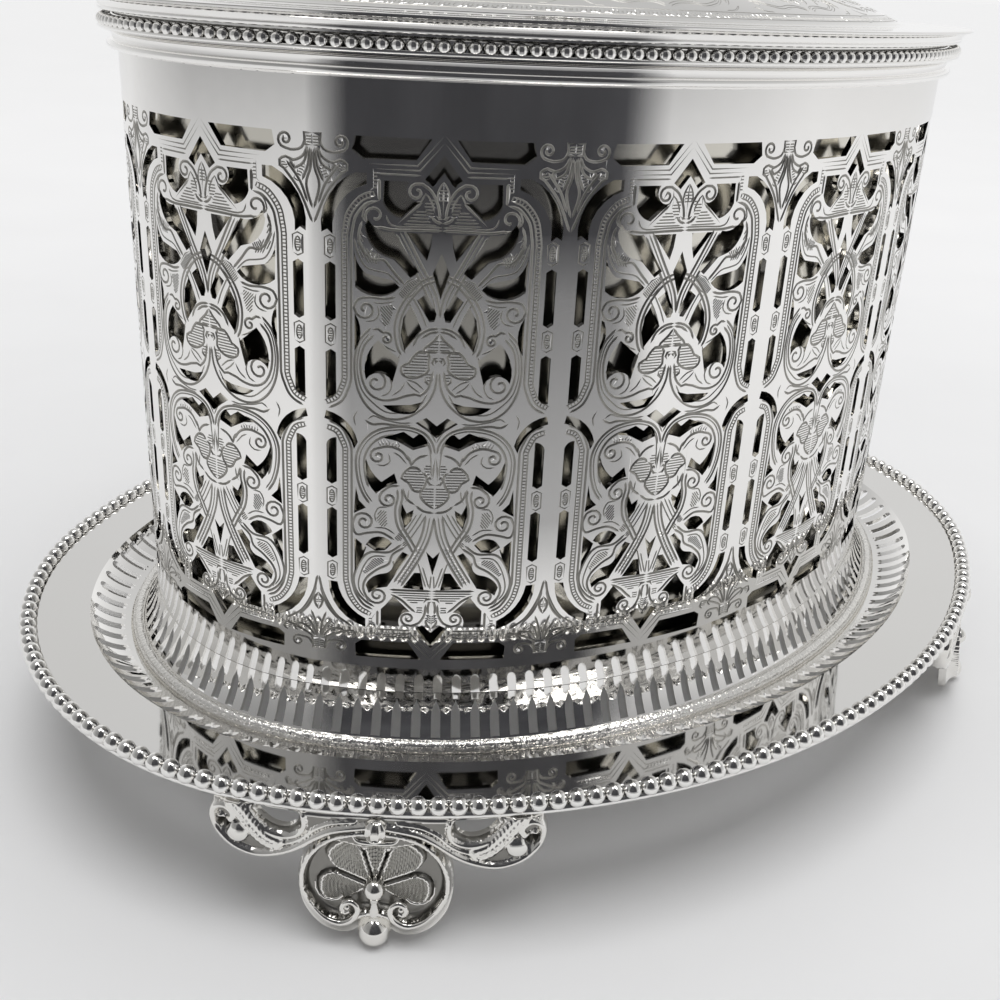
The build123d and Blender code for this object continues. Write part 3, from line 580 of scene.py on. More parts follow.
# %% Skirt and ring
FLUTES = 136
SKIRT_THICKNESS = 0.8
FLUTE_HALF = 0.78
FLUTE_MIDDLE = 1.5          # offset at which the flutes are spaced
skirt_section = rounded((3.0, 20.0), (3.0, 21.2), ((0.95, 24.6), (0.0, 28.7)), (-0.35, 28.8), (-1.0, 28.8),
    (-1.0, 33.6))
skirt_marks, skirt_face = along_section(skirt_section)
skirt_pitch = path_length(FLUTE_MIDDLE) / FLUTES


def flute_opening(middle):
    side = [(FLUTE_HALF, 1.75), (FLUTE_HALF, 5.2), (FLUTE_HALF * 0.92, 6.2), (FLUTE_HALF * 0.55, 7.1),
        (FLUTE_HALF * 0.18, 7.7)]
    loop = [(middle + x, y) for x, y in side] + [(middle, 8.2)]
    return loop + [(middle - x, y) for x, y in side[::-1]]


skirt_cell = pierced_cell(skirt_pitch, (0, skirt_marks[-1]), [flute_opening(skirt_pitch / 2)],
    [skirt_pitch / 3, 2 * skirt_pitch / 3], skirt_marks[1:-1], skirt_face,
    lambda flat: skirt_face(flat, -SKIRT_THICKNESS))
skirt = bend("pierced_skirt", skirt_cell, skirt_pitch, FLUTES, FLUTE_MIDDLE, MIRROR)

ring_section = rounded((3.05, 20.0), (4.9, 20.0), ((5.2, 21.0), (4.1, 22.1)), ((3.35, 21.75), (3.05, 21.2)))
ring = moulding("ring_moulding", ring_section, STIPPLED)

# %% [markdown]
# ## Collar, liner and the lid's mouldings
# These are plain drawn sections. The collar carries a round, a groove and a small hollow; the
# lid's moulding hollows out to a sharp edge that overhangs the beads.

# %% Collar, rim, liner and lid edge
collar_section = rounded((-1.8, 121.0), (-1.0, 121.0), (-1.0, 127.0), (0.0, 127.0), (0.75, 127.3),
    ((1.7, 127.95), (0.8, 128.6)), (0.8, 129.1), ((1.15, 129.85), (2.1, 130.2)),
    (2.1, 130.4), (-2.2, 130.4), (-2.2, 127.0), (-1.8, 126.4))
collar = moulding("collar", collar_section, MIRROR)
rim_section = rounded((-2.2, 130.4), (0.9, 130.4), (0.9, 132.2), ((0.75, 132.55), (0.4, 132.7)),
    (-2.2, 132.7))
rim = moulding("collar_flat_rim", rim_section, MIRROR)

lid_moulding_section = rounded((-1.2, 132.7), (0.4, 132.7), (0.4, 133.05), (2.45, 133.05),
    ((2.6, 133.2), (2.6, 133.75)), ((3.05, 134.5), (4.3, 135.0)), (-1.2, 135.0))
lid_moulding = moulding("lid_cove", lid_moulding_section, MIRROR)
bezel = moulding("lid_inner_flange", rounded((-3.6, 127.8), (-2.9, 127.8), (-2.9, 135.0), (-3.6, 135.0)),
    MIRROR)

# %% A bowl or plate on the oval
RING_STEPS = 480
RING_MARKS = np.arange(RING_STEPS) / RING_STEPS * PANELS


def oval_plate(name, section, material):
    """A closed skin from rings of the oval: each row is (offset, z); the ends are capped."""
    work = bmesh.new()
    rings = [[work.verts.new((x * MM, y * MM, z * MM)) for x, y in on_oval(RING_MARKS, offset)[0]]
        for offset, z in section]
    ring_skin(work, rings)
    bmesh.ops.recalc_face_normals(work, faces=work.faces)
    return smooth_object(name, work, [material], 30)


liner_section = rounded((-4.4, 30.5), ((-3.7, 30.8), (-3.4, 31.5)), (-3.4, 125.6), (-4.2, 125.6),
    (-4.2, 31.9), ((-4.5, 31.4), (-5.0, 31.3)))
liner = oval_plate("liner_box", liner_section, LINER_PAINTED_SHADE)
liner_edge = moulding("liner_rolled_edge", rounded((-4.8, 125.6), (-3.4, 125.6), (-3.4, 126.3),
    ((-4.1, 127.0), (-4.8, 126.3))), LINER_PAINTED_SHADE)
floor_sheet = oval_plate("floor_sheet", [(-1.8, 29.6), (-1.8, 30.5)], MIRROR)

# %% [markdown]
# ## Bead wires
# Bead wire is struck between rollers with half-round hollows, which leaves a row of beads on a
# thin core. A second tree spaces points evenly along a path and puts one bead on each.


# %% Bead rows
def bead_tree():
    tree, given, result = new_tree("beads_along_the_oval", ("Path", "Object"), ("Beads", "Int"),
        ("Finish", "Material"))
    path = node(tree, "GeometryNodeObjectInfo", (-600, 200))
    places = node(tree, "GeometryNodeCurveToPoints", (-400, 200), mode="COUNT")
    beads = node(tree, "GeometryNodeInstanceOnPoints", (-200, 100))
    real = node(tree, "GeometryNodeRealizeInstances", (0, 100))
    smooth = node(tree, "GeometryNodeSetShadeSmooth", (200, 100))
    finish = node(tree, "GeometryNodeSetMaterial", (400, 100))
    connect(tree, (given, "Path", path, "Object"), (path, "Geometry", places, "Curve"),
        (given, "Beads", places, "Count"), (places, "Points", beads, "Points"),
        (places, "Rotation", beads, "Rotation"), (given, "Geometry", beads, "Instance"),
        (beads, "Instances", real, "Geometry"), (real, "Geometry", smooth, "Geometry"),
        (smooth, "Geometry", finish, "Geometry"), (given, "Finish", finish, "Material"),
        (finish, "Geometry", result, "Geometry"))
    return tree


BEADS = bead_tree()


def join(name, pieces):
    """One object from several, keeping their materials."""
    for piece in bpy.context.selected_objects:
        piece.select_set(False)
    for piece in pieces:
        piece.select_set(True)
    bpy.context.view_layer.objects.active = pieces[0]
    bpy.ops.object.join()
    pieces[0].name = name
    pieces[0].select_set(False)
    return pieces[0]


def bead_row(name, count, offset, height, radius, core_section):
    """Beads on a path at their own offset, and the core strip that carries them."""
    path = path_at(offset)
    ball = bmesh.new()
    bmesh.ops.create_uvsphere(ball, u_segments=14, v_segments=9, radius=radius * MM)
    values = {"Path": path, "Beads": count, "Finish": BEAD}
    row = run_tree(mesh_object(name, ball), BEADS, values, crease=None, weld=0.001)
    lift = np.empty(len(row.data.vertices) * 3)
    row.data.vertices.foreach_get("co", lift)
    lift[2::3] += height * MM
    row.data.vertices.foreach_set("co", lift)
    core = moulding(name + "_core", core_section, BEAD)
    print(name, "beads:", count, "pitch %.2f mm" % (path_length(offset) / count))
    return join(name, [row, core])


tray_beads = bead_row("tray_beads", 196, 23.8, 25.4, 1.5,
    rounded((20.8, 23.2), (23.9, 23.2), ((24.35, 23.5), (24.1, 24.5)), (22.3, 24.5), (22.3, 24.14),
    (20.8, 24.1)))
collar_beads = bead_row("collar_beads", 224, 2.1, 131.6, 0.98,
    rounded((0.92, 130.42), (2.6, 130.42), ((2.8, 130.6), (2.7, 131.0)), (0.92, 131.0)))

# %% [markdown]
# ## The pierced panels
# The pattern is a Victorian mix of straps, scrolls and leaves, the same on both sides of each
# panel's middle line. An opening is a loop of (distance from the middle line, height above the
# lowest openings) points; a tuple inside marks the top of a curve, as in the sections above.

# %% Openings of one panel
PATTERN_Z = 35.3
WALL_FOOT = 28.8
WALL_TOP = 127.0
WALL_THICKNESS = 1.0

PAIRED_OPENINGS = [
    # the top border bar and the corner bracket under it
    [(1.7, 84.1), (12.5, 84.1), (12.9, 82.1), (11.4, 81), (3.9, 81.1)],
    [(4.8, 78.2), (8.4, 78.2), (8.5, 75.2), ((7.6, 73.8), (6, 73)), (3.2, 75.4), ((4.8, 76.1), (5.1, 77.6))],
    # the shoulder arch beside the post, and the long slots of the post
    [(10.8, 79.1), (12.4, 79.1), ((16, 76.2), (17.35, 70.4)), (16.5, 70.9), (15.7, 70.2),
    ((14.6, 74.8), (10.8, 77.5))],
    [(15.3, 57.8), (16.1, 57.3), (16.9, 57.8), (16.9, 65.7), (16.1, 66.2), (15.3, 65.7)],
    [(15.3, 46.3), ((15.8, 45.5), (16.9, 45.2)), (16.9, 52.5), (16.1, 53), (15.3, 52.5)],
    # the straps and leaves of the upper flower
    [(10.6, 72.7), ((8.9, 71.2), (6.9, 71.1)), (3.2, 65.4), (4.4, 64.5), (6.8, 67), (8.6, 67.6),
    ((10.3, 69.2), (11.1, 71.5))],
    [(1.4, 71), (5.1, 71), (2.1, 67.1), (1.6, 69)],
    [(12.6, 68.3), ((12, 66.2), (10.8, 64.8)), (6.9, 64), (5.9, 63), (6.8, 62.2),
    ((9.6, 61.5), (12.4, 62.7))],
    [(3.4, 61.2), (2, 62.3), (0.5, 59.3), (0.8, 58.1), (1.5, 58)],
    [(4.3, 60.3), (2.6, 56.8), (5.1, 53.5), (5.7, 56), (5.4, 58.4)],
    [(12.5, 58.8), ((11.6, 56), (12.5, 53))],
    [(9, 54.9), ((10.8, 51.9), (10.8, 48.6)), ((8.8, 49.8), (6.8, 48.4)), (5.8, 52.2), (7.3, 53.4)],
    # the waist between the two flowers
    [(2, 45.6), (4, 45), (8.2, 44.7), ((5.8, 43.5), (3.4, 43.7))],
    [(12, 38.4), ((13.6, 41.5), (16.9, 43.2)), (17.2, 41.9), ((14.3, 40.3), (12.6, 37.2))],
    [(1.25, 38.4), ((1.8, 39.8), (2.6, 40.4)), (3.5, 39.6), (5, 40.6), (8.1, 39.4), (6, 39), (3.5, 37.6)],
    # the straps and leaves of the lower flower
    [(10.8, 35.9), ((10.7, 32.6), (9.1, 29.9)), ((7.6, 31.2), (5.8, 31.9)), (6.3, 33.6), (8.3, 32),
    ((9.7, 33.5), (10.6, 35.4))],
    [(12.3, 31), (12.6, 26.3), (10.7, 27.4), (11.8, 28.6)],
    [(3.2, 27.5), (4.3, 26.8), (5.1, 28.6), (5.2, 26.5), (4.6, 24.2), (3.6, 25.5)],
    [(6.5, 21.4), ((8.7, 22.5), (10.7, 20.9)), (9.2, 19.9), (7.6, 20.1)],
    [(12.5, 22), (12.5, 15.8), (11.2, 18.6), (10.6, 20.4)],
    [(3.8, 19.5), (7.2, 13.5), (8.9, 13.1), (10.2, 12.1), (10.7, 13.6), ((9.5, 15.2), (7.8, 15.9)),
    ((6.5, 16.8), (6.4, 18.1)), (4.8, 20)],
    [(1.3, 13.2), (4.8, 13.4), (2.9, 16.3), (1.9, 16.3)],
    # the lower bracket, border bar, shoulder arch and post slots
    [(3.5, 9.1), (6.2, 11.9), (7.4, 10.2), (8.2, 9.3), (8.2, 6.2), (5.1, 6.2), ((5.2, 7.8), (4.5, 8.8))],
    [(1.6, 0), (12.3, 0), (12.4, 2.4), (11.3, 3.2), (3.7, 3.2)],
    [(16.8, 13.8), ((14.9, 8.4), (10.7, 5.7)), (10.7, 7.3), ((13.7, 9.8), (15.3, 13.7))],
    [(15.3, 31.5), (16.1, 31), (16.9, 31.5), (16.9, 37.7), ((16.3, 38.6), (15.3, 38.9))],
    [(15.3, 18.5), (16.1, 18), (16.9, 18.5), (16.9, 26.5), (16.1, 27), (15.3, 26.5)],
    ]
MIDDLE_OPENINGS = [
    [(0, 82), (2.7, 78.5), (1.5, 77.6), (0, 79.5), (-1.5, 77.6), (-2.7, 78.5)],
    [(0, 68.3), (1.25, 65.2), (0, 61.5), (-1.25, 65.2)],
    [(3.2, 42.1), (1.6, 43), (0, 41.7), (-1.6, 43), (-3.2, 42.1), (-1.6, 41), (0, 39.7), (1.6, 41)],
    [(1.1, 20.2), (0, 19), (-1.1, 20.2), (0, 15.9)],
    [(2.6, 6), (1.4, 6.6), (0, 5.2), (-1.4, 6.6), (-2.6, 6), (0, 2.2)],
    ]


def opening_loop(steps):
    loop = rounded(*steps, fine=6)
    if np.allclose(loop[0], loop[-1]):
        loop = loop[:-1]
    x, y = loop.T
    if (x * np.roll(y, -1) - np.roll(x, -1) * y).sum() < 0:
        loop = loop[::-1]
    return loop


PANEL_LOOPS = [opening_loop(steps) for steps in MIDDLE_OPENINGS]
for steps in PAIRED_OPENINGS:
    loop = opening_loop(steps)
    PANEL_LOOPS += [loop, loop[::-1] * (-1, 1)]
print("openings in a panel:", len(PANEL_LOOPS))

# %% [markdown]
# ## Chasing and engraving
# After piercing, the panels are engraved: bold lines follow the straps and curls, fine lines
# echo them, and close hatching shades the petals. A graver cuts a V, so every line here is cut
# into the same triangles as the openings: its two banks and its bottom become edges of the
# triangulation, and points near a line are sunk by how close they lie to it.


# %% Drawing helpers for the graver
def flow(*points, step=0.6):
    """A smooth line through the points, in even short steps."""
    knots = np.array(points, float)
    padded = np.vstack([2 * knots[0] - knots[1], knots, 2 * knots[-1] - knots[-2]])
    line = []
    for a, b, c, d in zip(padded, padded[1:], padded[2:], padded[3:]):
        count = max(1, int(np.linalg.norm(c - b) / step + 0.5))
        for t in np.arange(count) / count:
            line.append(0.5 * ((2 * b) + (c - a) * t + (2 * a - 5 * b + 4 * c - d) * t * t
                + (3 * b - a - 3 * c + d) * t ** 3))
    return np.array(line + [knots[-1]])


def curl(centre, radius, start, turns, inner=0.3):
    """A spiral that winds in from the angle start, in degrees; negative turns run clockwise."""
    count = max(6, int(abs(turns) * 14))
    share = np.linspace(0, 1, count + 1)
    angle = np.radians(start) + share * turns * 2 * math.pi
    reach = radius * (1 - share) + inner * share
    return np.column_stack([centre[0] + reach * np.cos(angle), centre[1] + reach * np.sin(angle)])


def beside(line, gap):
    """The line moved sideways by a gap, to its left when the gap is positive."""
    along = np.gradient(line, axis=0)
    along /= np.maximum(np.linalg.norm(along, axis=1), 1e-9)[:, None]
    return line + gap * np.column_stack([-along[:, 1], along[:, 0]])


def shading(outline, angle, gap):
    """Straight hatching lines inside an outline."""
    turn = np.radians(angle)
    way = np.array([math.cos(turn), math.sin(turn)])
    across = np.array([-way[1], way[0]])
    loop = np.array(outline, float)
    level = loop @ across
    strokes = []
    for s in np.arange(level.min() + gap / 2, level.max(), gap):
        cuts = []
        for p, q, lp, lq in zip(loop, np.roll(loop, -1, 0), level, np.roll(level, -1)):
            if (lp > s) != (lq > s):
                cuts.append((p + (q - p) * (s - lp) / (lq - lp)) @ way)
        cuts.sort()
        for near, far in zip(cuts[::2], cuts[1::2]):
            if far - near > 0.5:
                strokes.append(np.array([way * (near + 0.06) + across * s, way * (far - 0.06) + across * s]))
    return strokes


def rope(line, pitch, half):
    """Short strokes across a line, as a rope-pattern punch leaves them."""
    steps = np.linalg.norm(np.diff(line, axis=0), axis=1)
    marks = np.concatenate([[0], np.cumsum(steps)])
    strokes = []
    for mark in np.arange(pitch / 2, marks[-1], pitch):
        here = np.array([np.interp(mark, marks, line[:, k]) for k in (0, 1)])
        ahead = np.array([np.interp(min(mark + 0.1, marks[-1]), marks, line[:, k]) for k in (0, 1)])
        behind = np.array([np.interp(max(mark - 0.1, 0), marks, line[:, k]) for k in (0, 1)])
        way = (ahead - behind) / np.linalg.norm(ahead - behind)
        side = np.array([-way[1], way[0]])
        strokes.append(np.array([here - side * half, here + side * half]))
    return strokes


# %% The straps that frame each panel
BOLD = []
FINE = []
HATCH = []

upper_strap = np.vstack([flow((17, 44.5), (15.2, 45.6), (14.2, 47.8)), flow((14, 48.6), (14, 69.6), step=3),
    flow((13.9, 70.6), (13.3, 73.3), (11.6, 75.5), (9.7, 76.3))])
HATCH += rope(upper_strap, 0.55, 0.26)
FINE += [beside(upper_strap, 0.36), beside(upper_strap, -0.36)]
BOLD += [beside(upper_strap, 1.0)]
HATCH += rope(np.array([(9.6, 76.9), (9.6, 79.6)]), 0.5, 0.28)
top_bar = np.array([(9.9, 79.75), (3.35, 79.75), (0.05, 83.6)])
FINE += [top_bar, np.array([(9.3, 79.1), (3.2, 79.1)]), np.array([(10.6, 80.4), (3.7, 80.4), (0.1, 84.6)])]
BOLD += [np.array([(9, 78.4), (9, 75.3)])]

lower_strap = np.vstack([flow((16.9, 40.6), (15.2, 39.9), (14.2, 38)),
    flow((13.95, 37.2), (13.95, 15), step=3), flow((13.9, 14), (13.2, 11.4), (11.7, 9.2), (9.9, 8.2))])
HATCH += rope(lower_strap, 0.55, 0.26)
FINE += [beside(lower_strap, 0.36), beside(lower_strap, -0.36)]
BOLD += [beside(lower_strap, -1.0)]
HATCH += rope(np.array([(9.9, 7.6), (9.9, 5.6)]), 0.5, 0.28)
foot_bar = np.array([(9.8, 4.85), (3.3, 4.85), (0.05, 1.2)])
FINE += [foot_bar, np.array([(9.2, 5.5), (3.2, 5.5)]), np.array([(10.8, 4.1), (3.75, 4.1), (0.1, 0.1)])]
HATCH += rope(np.array([(9.4, 4.5), (3.6, 4.5)]), 0.7, 0.22)
BOLD += [np.array([(8.75, 6.1), (8.75, 9)])]
for low in (53.6, 66.8, 27.3, 14.2):
    middle = low + 1.6
    collet = [(15.2, low + 0.1), (16.1, low - 0.35), (17, low + 0.1), (17, low + 3.1), (16.1, low + 3.55),
        (15.2, low + 3.1), (15.2, low + 0.1)]
    FINE += [np.array(collet) * 0.86 + np.array([16.1, middle]) * 0.14]
    ring_turns = np.linspace(0, 2 * math.pi, 13)
    ring_line = [(16.1 + 0.42 * math.cos(a), middle + 1.05 * math.sin(a)) for a in ring_turns]
    FINE += [np.array(ring_line)]
    HATCH += shading(ring_line, 0, 0.36)

# %% The upper bracket
BOLD += [np.vstack([flow((0.35, 73.1), (0.75, 75.2), (1.7, 77), (3, 77.95)),
    curl((3.75, 76.75), 1.25, 105, -1.1)])]
FINE += [flow((1.2, 74), (1.6, 75.4), (2.5, 76.6), (3.1, 75.5), (4.4, 75.3))]
FINE += [flow((0, 78.4), (0.72, 77), (0.8, 75.6), (0.3, 73.4))]
HATCH += shading([(0, 78.2), (0.6, 77), (0.66, 75.8), (0, 74.6)], 0, 0.46)
HATCH += shading([(0.95, 75.9), (1.9, 75.9), (2.8, 75.1), (2.3, 73.6), (1.3, 73.2)], 0, 0.46)
HATCH += shading([(2.4, 74.3), (3.7, 74.2), (5.9, 72), (0.3, 72), (1.6, 72.7)], 0, 0.46)
BOLD += [flow((0, 72.55), (0.9, 72.75), (1.7, 73.5)), flow((0, 73.15), (0.5, 73.2), (1, 73.6))]
BOLD += [np.vstack([flow((0, 71.5), (3.5, 71.45), (6.8, 71.35), (8.8, 71.6)),
    curl((9.6, 73.2), 1.75, -105, 1.15)])]
FINE += [flow((0, 71.95), (3.5, 71.9), (6.5, 71.8), (7.6, 72.3), (8, 73.4))]
FINE += [flow((10.9, 72.2), (11.4, 73), (10.8, 74.6), (9, 75.4))]
BOLD += [np.array([(6.4, 72.2), (3.5, 74.9), (2.9, 75.4)])]

# %% Straps, leaves and curls of the upper half
for gap, cut in ((0.62, BOLD), (0, FINE), (-0.62, BOLD)):
    cut += [beside(flow((6, 71.1), (3.5, 66.3), (1.25, 61.9), (0.55, 58.6)), gap)]
for gap in (0.35, -0.35):
    BOLD += [beside(flow((0.6, 64.6), (2.8, 63.6), (5.2, 60.5), (6.2, 57.3), (5.9, 54.4), (5.2, 52.9)), gap)]
    FINE += [beside(flow((4.5, 61.6), (3.2, 59.2), (2.3, 57)), gap * 1.3)]
HATCH += shading([(3.4, 64.5), (4.8, 63.9), (6.2, 62.2), (5.4, 61.3), (4.3, 62), (3, 63.6)], 45, 0.3)
FINE += [np.array([(3.4, 64.6), (4.8, 64), (6.3, 62.2)]), np.array([(2.9, 63.6), (4.2, 61.9), (5.4, 61.2)])]
BOLD += [flow((11.4, 72.4), (11.9, 70.5), (11.5, 68.4), (9.9, 66.9), (8.3, 66.9), (6.8, 65.2), (5.2, 63.4))]
FINE += [flow((12.6, 69.9), (12, 67.6), (10.9, 65.8), (9.4, 65.3), (7.6, 64.9), (5.8, 63.3))]
HATCH += shading([(11.5, 71.6), (12.3, 70), (11.8, 67.8), (10.6, 66.2), (8.7, 66.2), (9.9, 67.4),
    (11.2, 69)], 62, 0.34)
HATCH += shading([(8.8, 67.9), (9.9, 68.1), (10.8, 69.4), (10, 66.7), (8.8, 66.7)], 118, 0.34)
BOLD += [np.vstack([flow((6.4, 61.6), (8, 61.2), (10.2, 61.3), (12, 60.9), (12.6, 59.7)),
    curl((10.9, 59.5), 1.6, -5, -1.2)])]
FINE += [flow((6.6, 60.9), (8.6, 60.5), (9.9, 60.6)), flow((9.2, 60.2), (8.9, 58.9), (9.6, 57.9), (11, 57.6))]
HATCH += shading([(6.9, 60.5), (9, 60.1), (8.6, 58.6), (8.3, 56.8), (7.3, 57.3), (6.8, 58.8)], 48, 0.34)
BOLD += [np.vstack([flow((9.9, 56.4), (9, 56.6), (8.3, 56.1)), curl((7.8, 55.2), 1, 60, 1.2, 0.2)])]
FINE += [flow((8.9, 54.6), (7.4, 53.7), (6.2, 53.2)), flow((5.7, 53), (6.5, 50.9), (7.2, 49.6))]
BOLD += [flow((0.15, 50.3), (0.5, 47.5), (1.9, 44.9), (4.6, 42.9), (7.6, 42.6), (10.3, 44.1), (12, 47),
    (12.5, 51), (11.8, 54.6), (10, 56.8))]
BOLD += [np.vstack([flow((0.75, 50.6), (1.4, 47.8), (2.6, 46.5)), flow((3.4, 46.7), (5, 46.3), (6.2, 45.8),
    (8.2, 45.5), (10.1, 46.3), (11.3, 48.5), (11.6, 51.4), (11, 54), (9.6, 55.7))])]
FINE += [flow((1.5, 46.9), (3, 44.6), (5.2, 43.7), (7.6, 43.6), (9.6, 44.9), (11.4, 47), (12.1, 50.4),
    (11.6, 53.9), (10.2, 56))]
BOLD += [np.vstack([flow((11.2, 49.8), (10.5, 50.4)), curl((9.3, 48.3), 1.85, 65, 1.25, 0.25)])]
FINE += [flow((7.3, 49.4), (6.9, 47.9), (7.5, 46.6), (8.6, 46.1)),
    flow((4.9, 48.6), (5.6, 47.3), (6.9, 46.3))]
FINE += [flow((2, 47.4), (3.4, 48.6), (4.8, 49)), flow((2.6, 46.9), (4, 47.9), (4.8, 48.8))]

# %% The upper flower
BOLD += [flow((0, 57.1), (1.7, 56.8), (3.1, 55.8), (3.9, 54.1)), flow((0, 56.6), (1.5, 56.3), (2.7, 55.4))]
BOLD += [flow((0, 56.3), (0.7, 55.3), (2.1, 54), (2.3, 53.5), (0, 53.4))]
HATCH += shading([(-0, 56.1), (0.7, 55.1), (2.1, 53.9), (1.2, 53.5), (0, 53.5)], 0, 0.46)
right_petal = [(1.9, 53.4), (3, 53.4), (3.9, 52.4), (4.4, 51.6), (5.5, 51), (5.4, 49.9), (4.4, 49.3),
    (3.1, 49.4), (2.1, 49.9), (1.4, 50.7), (1.5, 51.9), (1.3, 52.7), (1.9, 53.4)]
BOLD += [flow(*right_petal)]
HATCH += shading(right_petal, 0, 0.46)
HATCH += shading([(0.75, 50.3), (1.9, 49.9), (2, 49.2), (0.9, 48.3), (0.6, 49.2)], 0, 0.46)
BOLD += [flow((2, 49.6), (1.9, 48.8), (0.9, 48.1))]
BOLD += [flow((0, 52.6), (0.7, 52.4), (0.95, 51.8), (0.6, 51.2)), flow((0, 52.15), (0.4, 52), (0.5, 51.6))]

# %% The waist
FINE += [flow((3.7, 42.1), (5.4, 41.95), (7, 42.2), (8.4, 42.5), (9.6, 42.9), (10.6, 42.2))]
BOLD += [flow((3.9, 41.6), (6, 41.55), (8.2, 41.7), (9.8, 41.5), (11, 42.2))]
FINE += [flow((0, 38.9), (0.9, 40.6), (2, 41.9)), flow((12, 43.6), (12.6, 42.4), (12.3, 41))]

# %% Straps, leaves and curls of the lower half
lower_scroll = flow((0.1, 37), (0.6, 38.9), (1.9, 40.5), (4, 41.3), (6.2, 41.3), (8.9, 40.6), (11, 38.9),
    (12.2, 36.2), (12.1, 32.8), (11.3, 30), (10.1, 28.1))
BOLD += [lower_scroll, beside(lower_scroll[14:-5], -1.3)]
FINE += [beside(lower_scroll, -0.5), flow((0.6, 33.1), (0.75, 36.2), (1.1, 38.2), (2.2, 39.6))]
BOLD += [np.array([(0.35, 32.4), (0.3, 34.4), (0.05, 36.6)])]
BOLD += [np.vstack([flow((4, 35.7), (5.3, 37.4), (7.2, 38), (9, 37.6)),
    curl((8.9, 36.3), 1.3, 85, -1.3, 0.2)])]
HATCH += rope(flow((5.4, 38.1), (7.2, 38.5), (9, 38.1)), 0.5, 0.2)
FINE += [flow((7.3, 36.9), (7, 35.6), (7.9, 34.8), (9.2, 34.9)), flow((4.4, 35.2), (5.6, 36.6), (6.6, 37.1))]
BOLD += [flow((1.1, 36.9), (2.4, 36.5), (3.3, 35.8), (3.8, 34.9)), flow((3.8, 34.9), (4, 36), (4.6, 36.9))]
BOLD += [np.vstack([flow((5.4, 31.5), (7, 31.3), (8.3, 30.2)), curl((7.2, 29.1), 1.5, 45, -1.35, 0.25)])]
for gap in (0.35, -0.35):
    BOLD += [beside(flow((5.5, 31), (5.35, 29.4), (5.75, 27.2), (5.35, 24.6), (3.9, 22), (2.8, 19.9)), gap)]
    FINE += [beside(flow((1.5, 26.9), (2.9, 24.3), (4.2, 22.2)), gap)]
    FINE += [beside(flow((2.9, 26.9), (4, 24.9), (4.9, 23.4)), gap * 0.8)]
BOLD += [np.vstack([flow((6.1, 22), (8.2, 23.2), (10.4, 23), (12.2, 22.6), (12.8, 24.3), (12.3, 25.9)),
    curl((11, 24.9), 1.6, 50, 1.35, 0.3)])]
FINE += [flow((6, 23), (7.6, 24), (9.4, 24)), flow((7.2, 27.6), (8.6, 27.6), (9.3, 26.2), (9, 24.9))]
HATCH += shading([(7.4, 27.2), (8.5, 27.2), (9.2, 25.6), (8.5, 24.2), (7.2, 24.3)], -52, 0.34)
HATCH += shading([(4.8, 23.2), (5.5, 23.5), (6.2, 22.5), (5.6, 21.8), (4.9, 21.9)], 45, 0.3)
HATCH += shading([(3.9, 21.8), (4.8, 21.9), (4.9, 20.9), (4.1, 20.7)], -45, 0.3)
BOLD += [np.vstack([flow((4.9, 21.4), (7, 19.8), (9.9, 19.6), (11.5, 18), (12.6, 14.9), (12.3, 12.6),
    (10.9, 10.7), (9.2, 9.6))])]
BOLD += [np.vstack([flow((4.4, 20.9), (6.4, 19.4), (7, 17.7), (8.9, 16.5), (10.6, 14.8), (11.1, 12.9),
    (10.4, 11)), curl((8.8, 11.8), 1.6, -25, -1.5, 0.3)])]
FINE += [flow((7.4, 19), (9.6, 18.8), (10.9, 17.2), (11.8, 14.4), (11.7, 12.6), (10.8, 11.2))]
HATCH += shading([(7.6, 18.8), (9.6, 18.6), (10.8, 16.8), (11.5, 14.4), (10.6, 15.6), (9, 16.9),
    (7.8, 17.7)], 40, 0.34)
for gap, cut in ((0.65, BOLD), (0, FINE), (-0.65, BOLD)):
    cut += [beside(flow((0.6, 26.4), (1.3, 22.6), (3, 18.6), (5.6, 14)), gap)]
HATCH += rope(flow((2, 20.8), (3, 18.6), (5.4, 14.4)), 0.6, 0.2)
FINE += [np.array([(2.4, 18.2), (1, 13.6)]), np.array([(0.2, 15.8), (0.35, 13.4)]),
    np.array([(1.6, 17.4), (0.5, 13.6)])]

# %% The lower flower
right_petal = [(2.1, 34), (2.9, 34.7), (4, 34.6), (5, 33.5), (5.2, 32.8), (4.1, 32.1), (3.5, 31),
    (2.6, 30.6), (1.8, 31.2), (1.4, 32.2), (1.35, 33.3), (2.1, 34)]
BOLD += [flow(*right_petal)]
HATCH += shading(right_petal, 0, 0.46)
HATCH += shading([(0.65, 35.4), (1.5, 35.3), (2, 34.4), (1.2, 33.4), (0.65, 33.8)], 0, 0.46)
heart = [(0, 31.4), (1.5, 31.4), (2.2, 30.7), (2.2, 29.8), (1.4, 28.7), (0, 27.7)]
BOLD += [flow(*heart[1:])]
HATCH += shading([(0, 31.3), *heart[1:]], 0, 0.46)
BOLD += [flow((0, 31.8), (0.8, 31.9), (1.25, 32.6), (0.9, 33.1), (0.55, 32.7))]
BOLD += [flow((0, 27), (1.7, 27.3), (3, 28.3)), flow((3, 28.3), (4.4, 29.4), (5, 31.2))]
FINE += [flow((4, 30.9), (4.2, 29.4), (4.6, 28.6))]

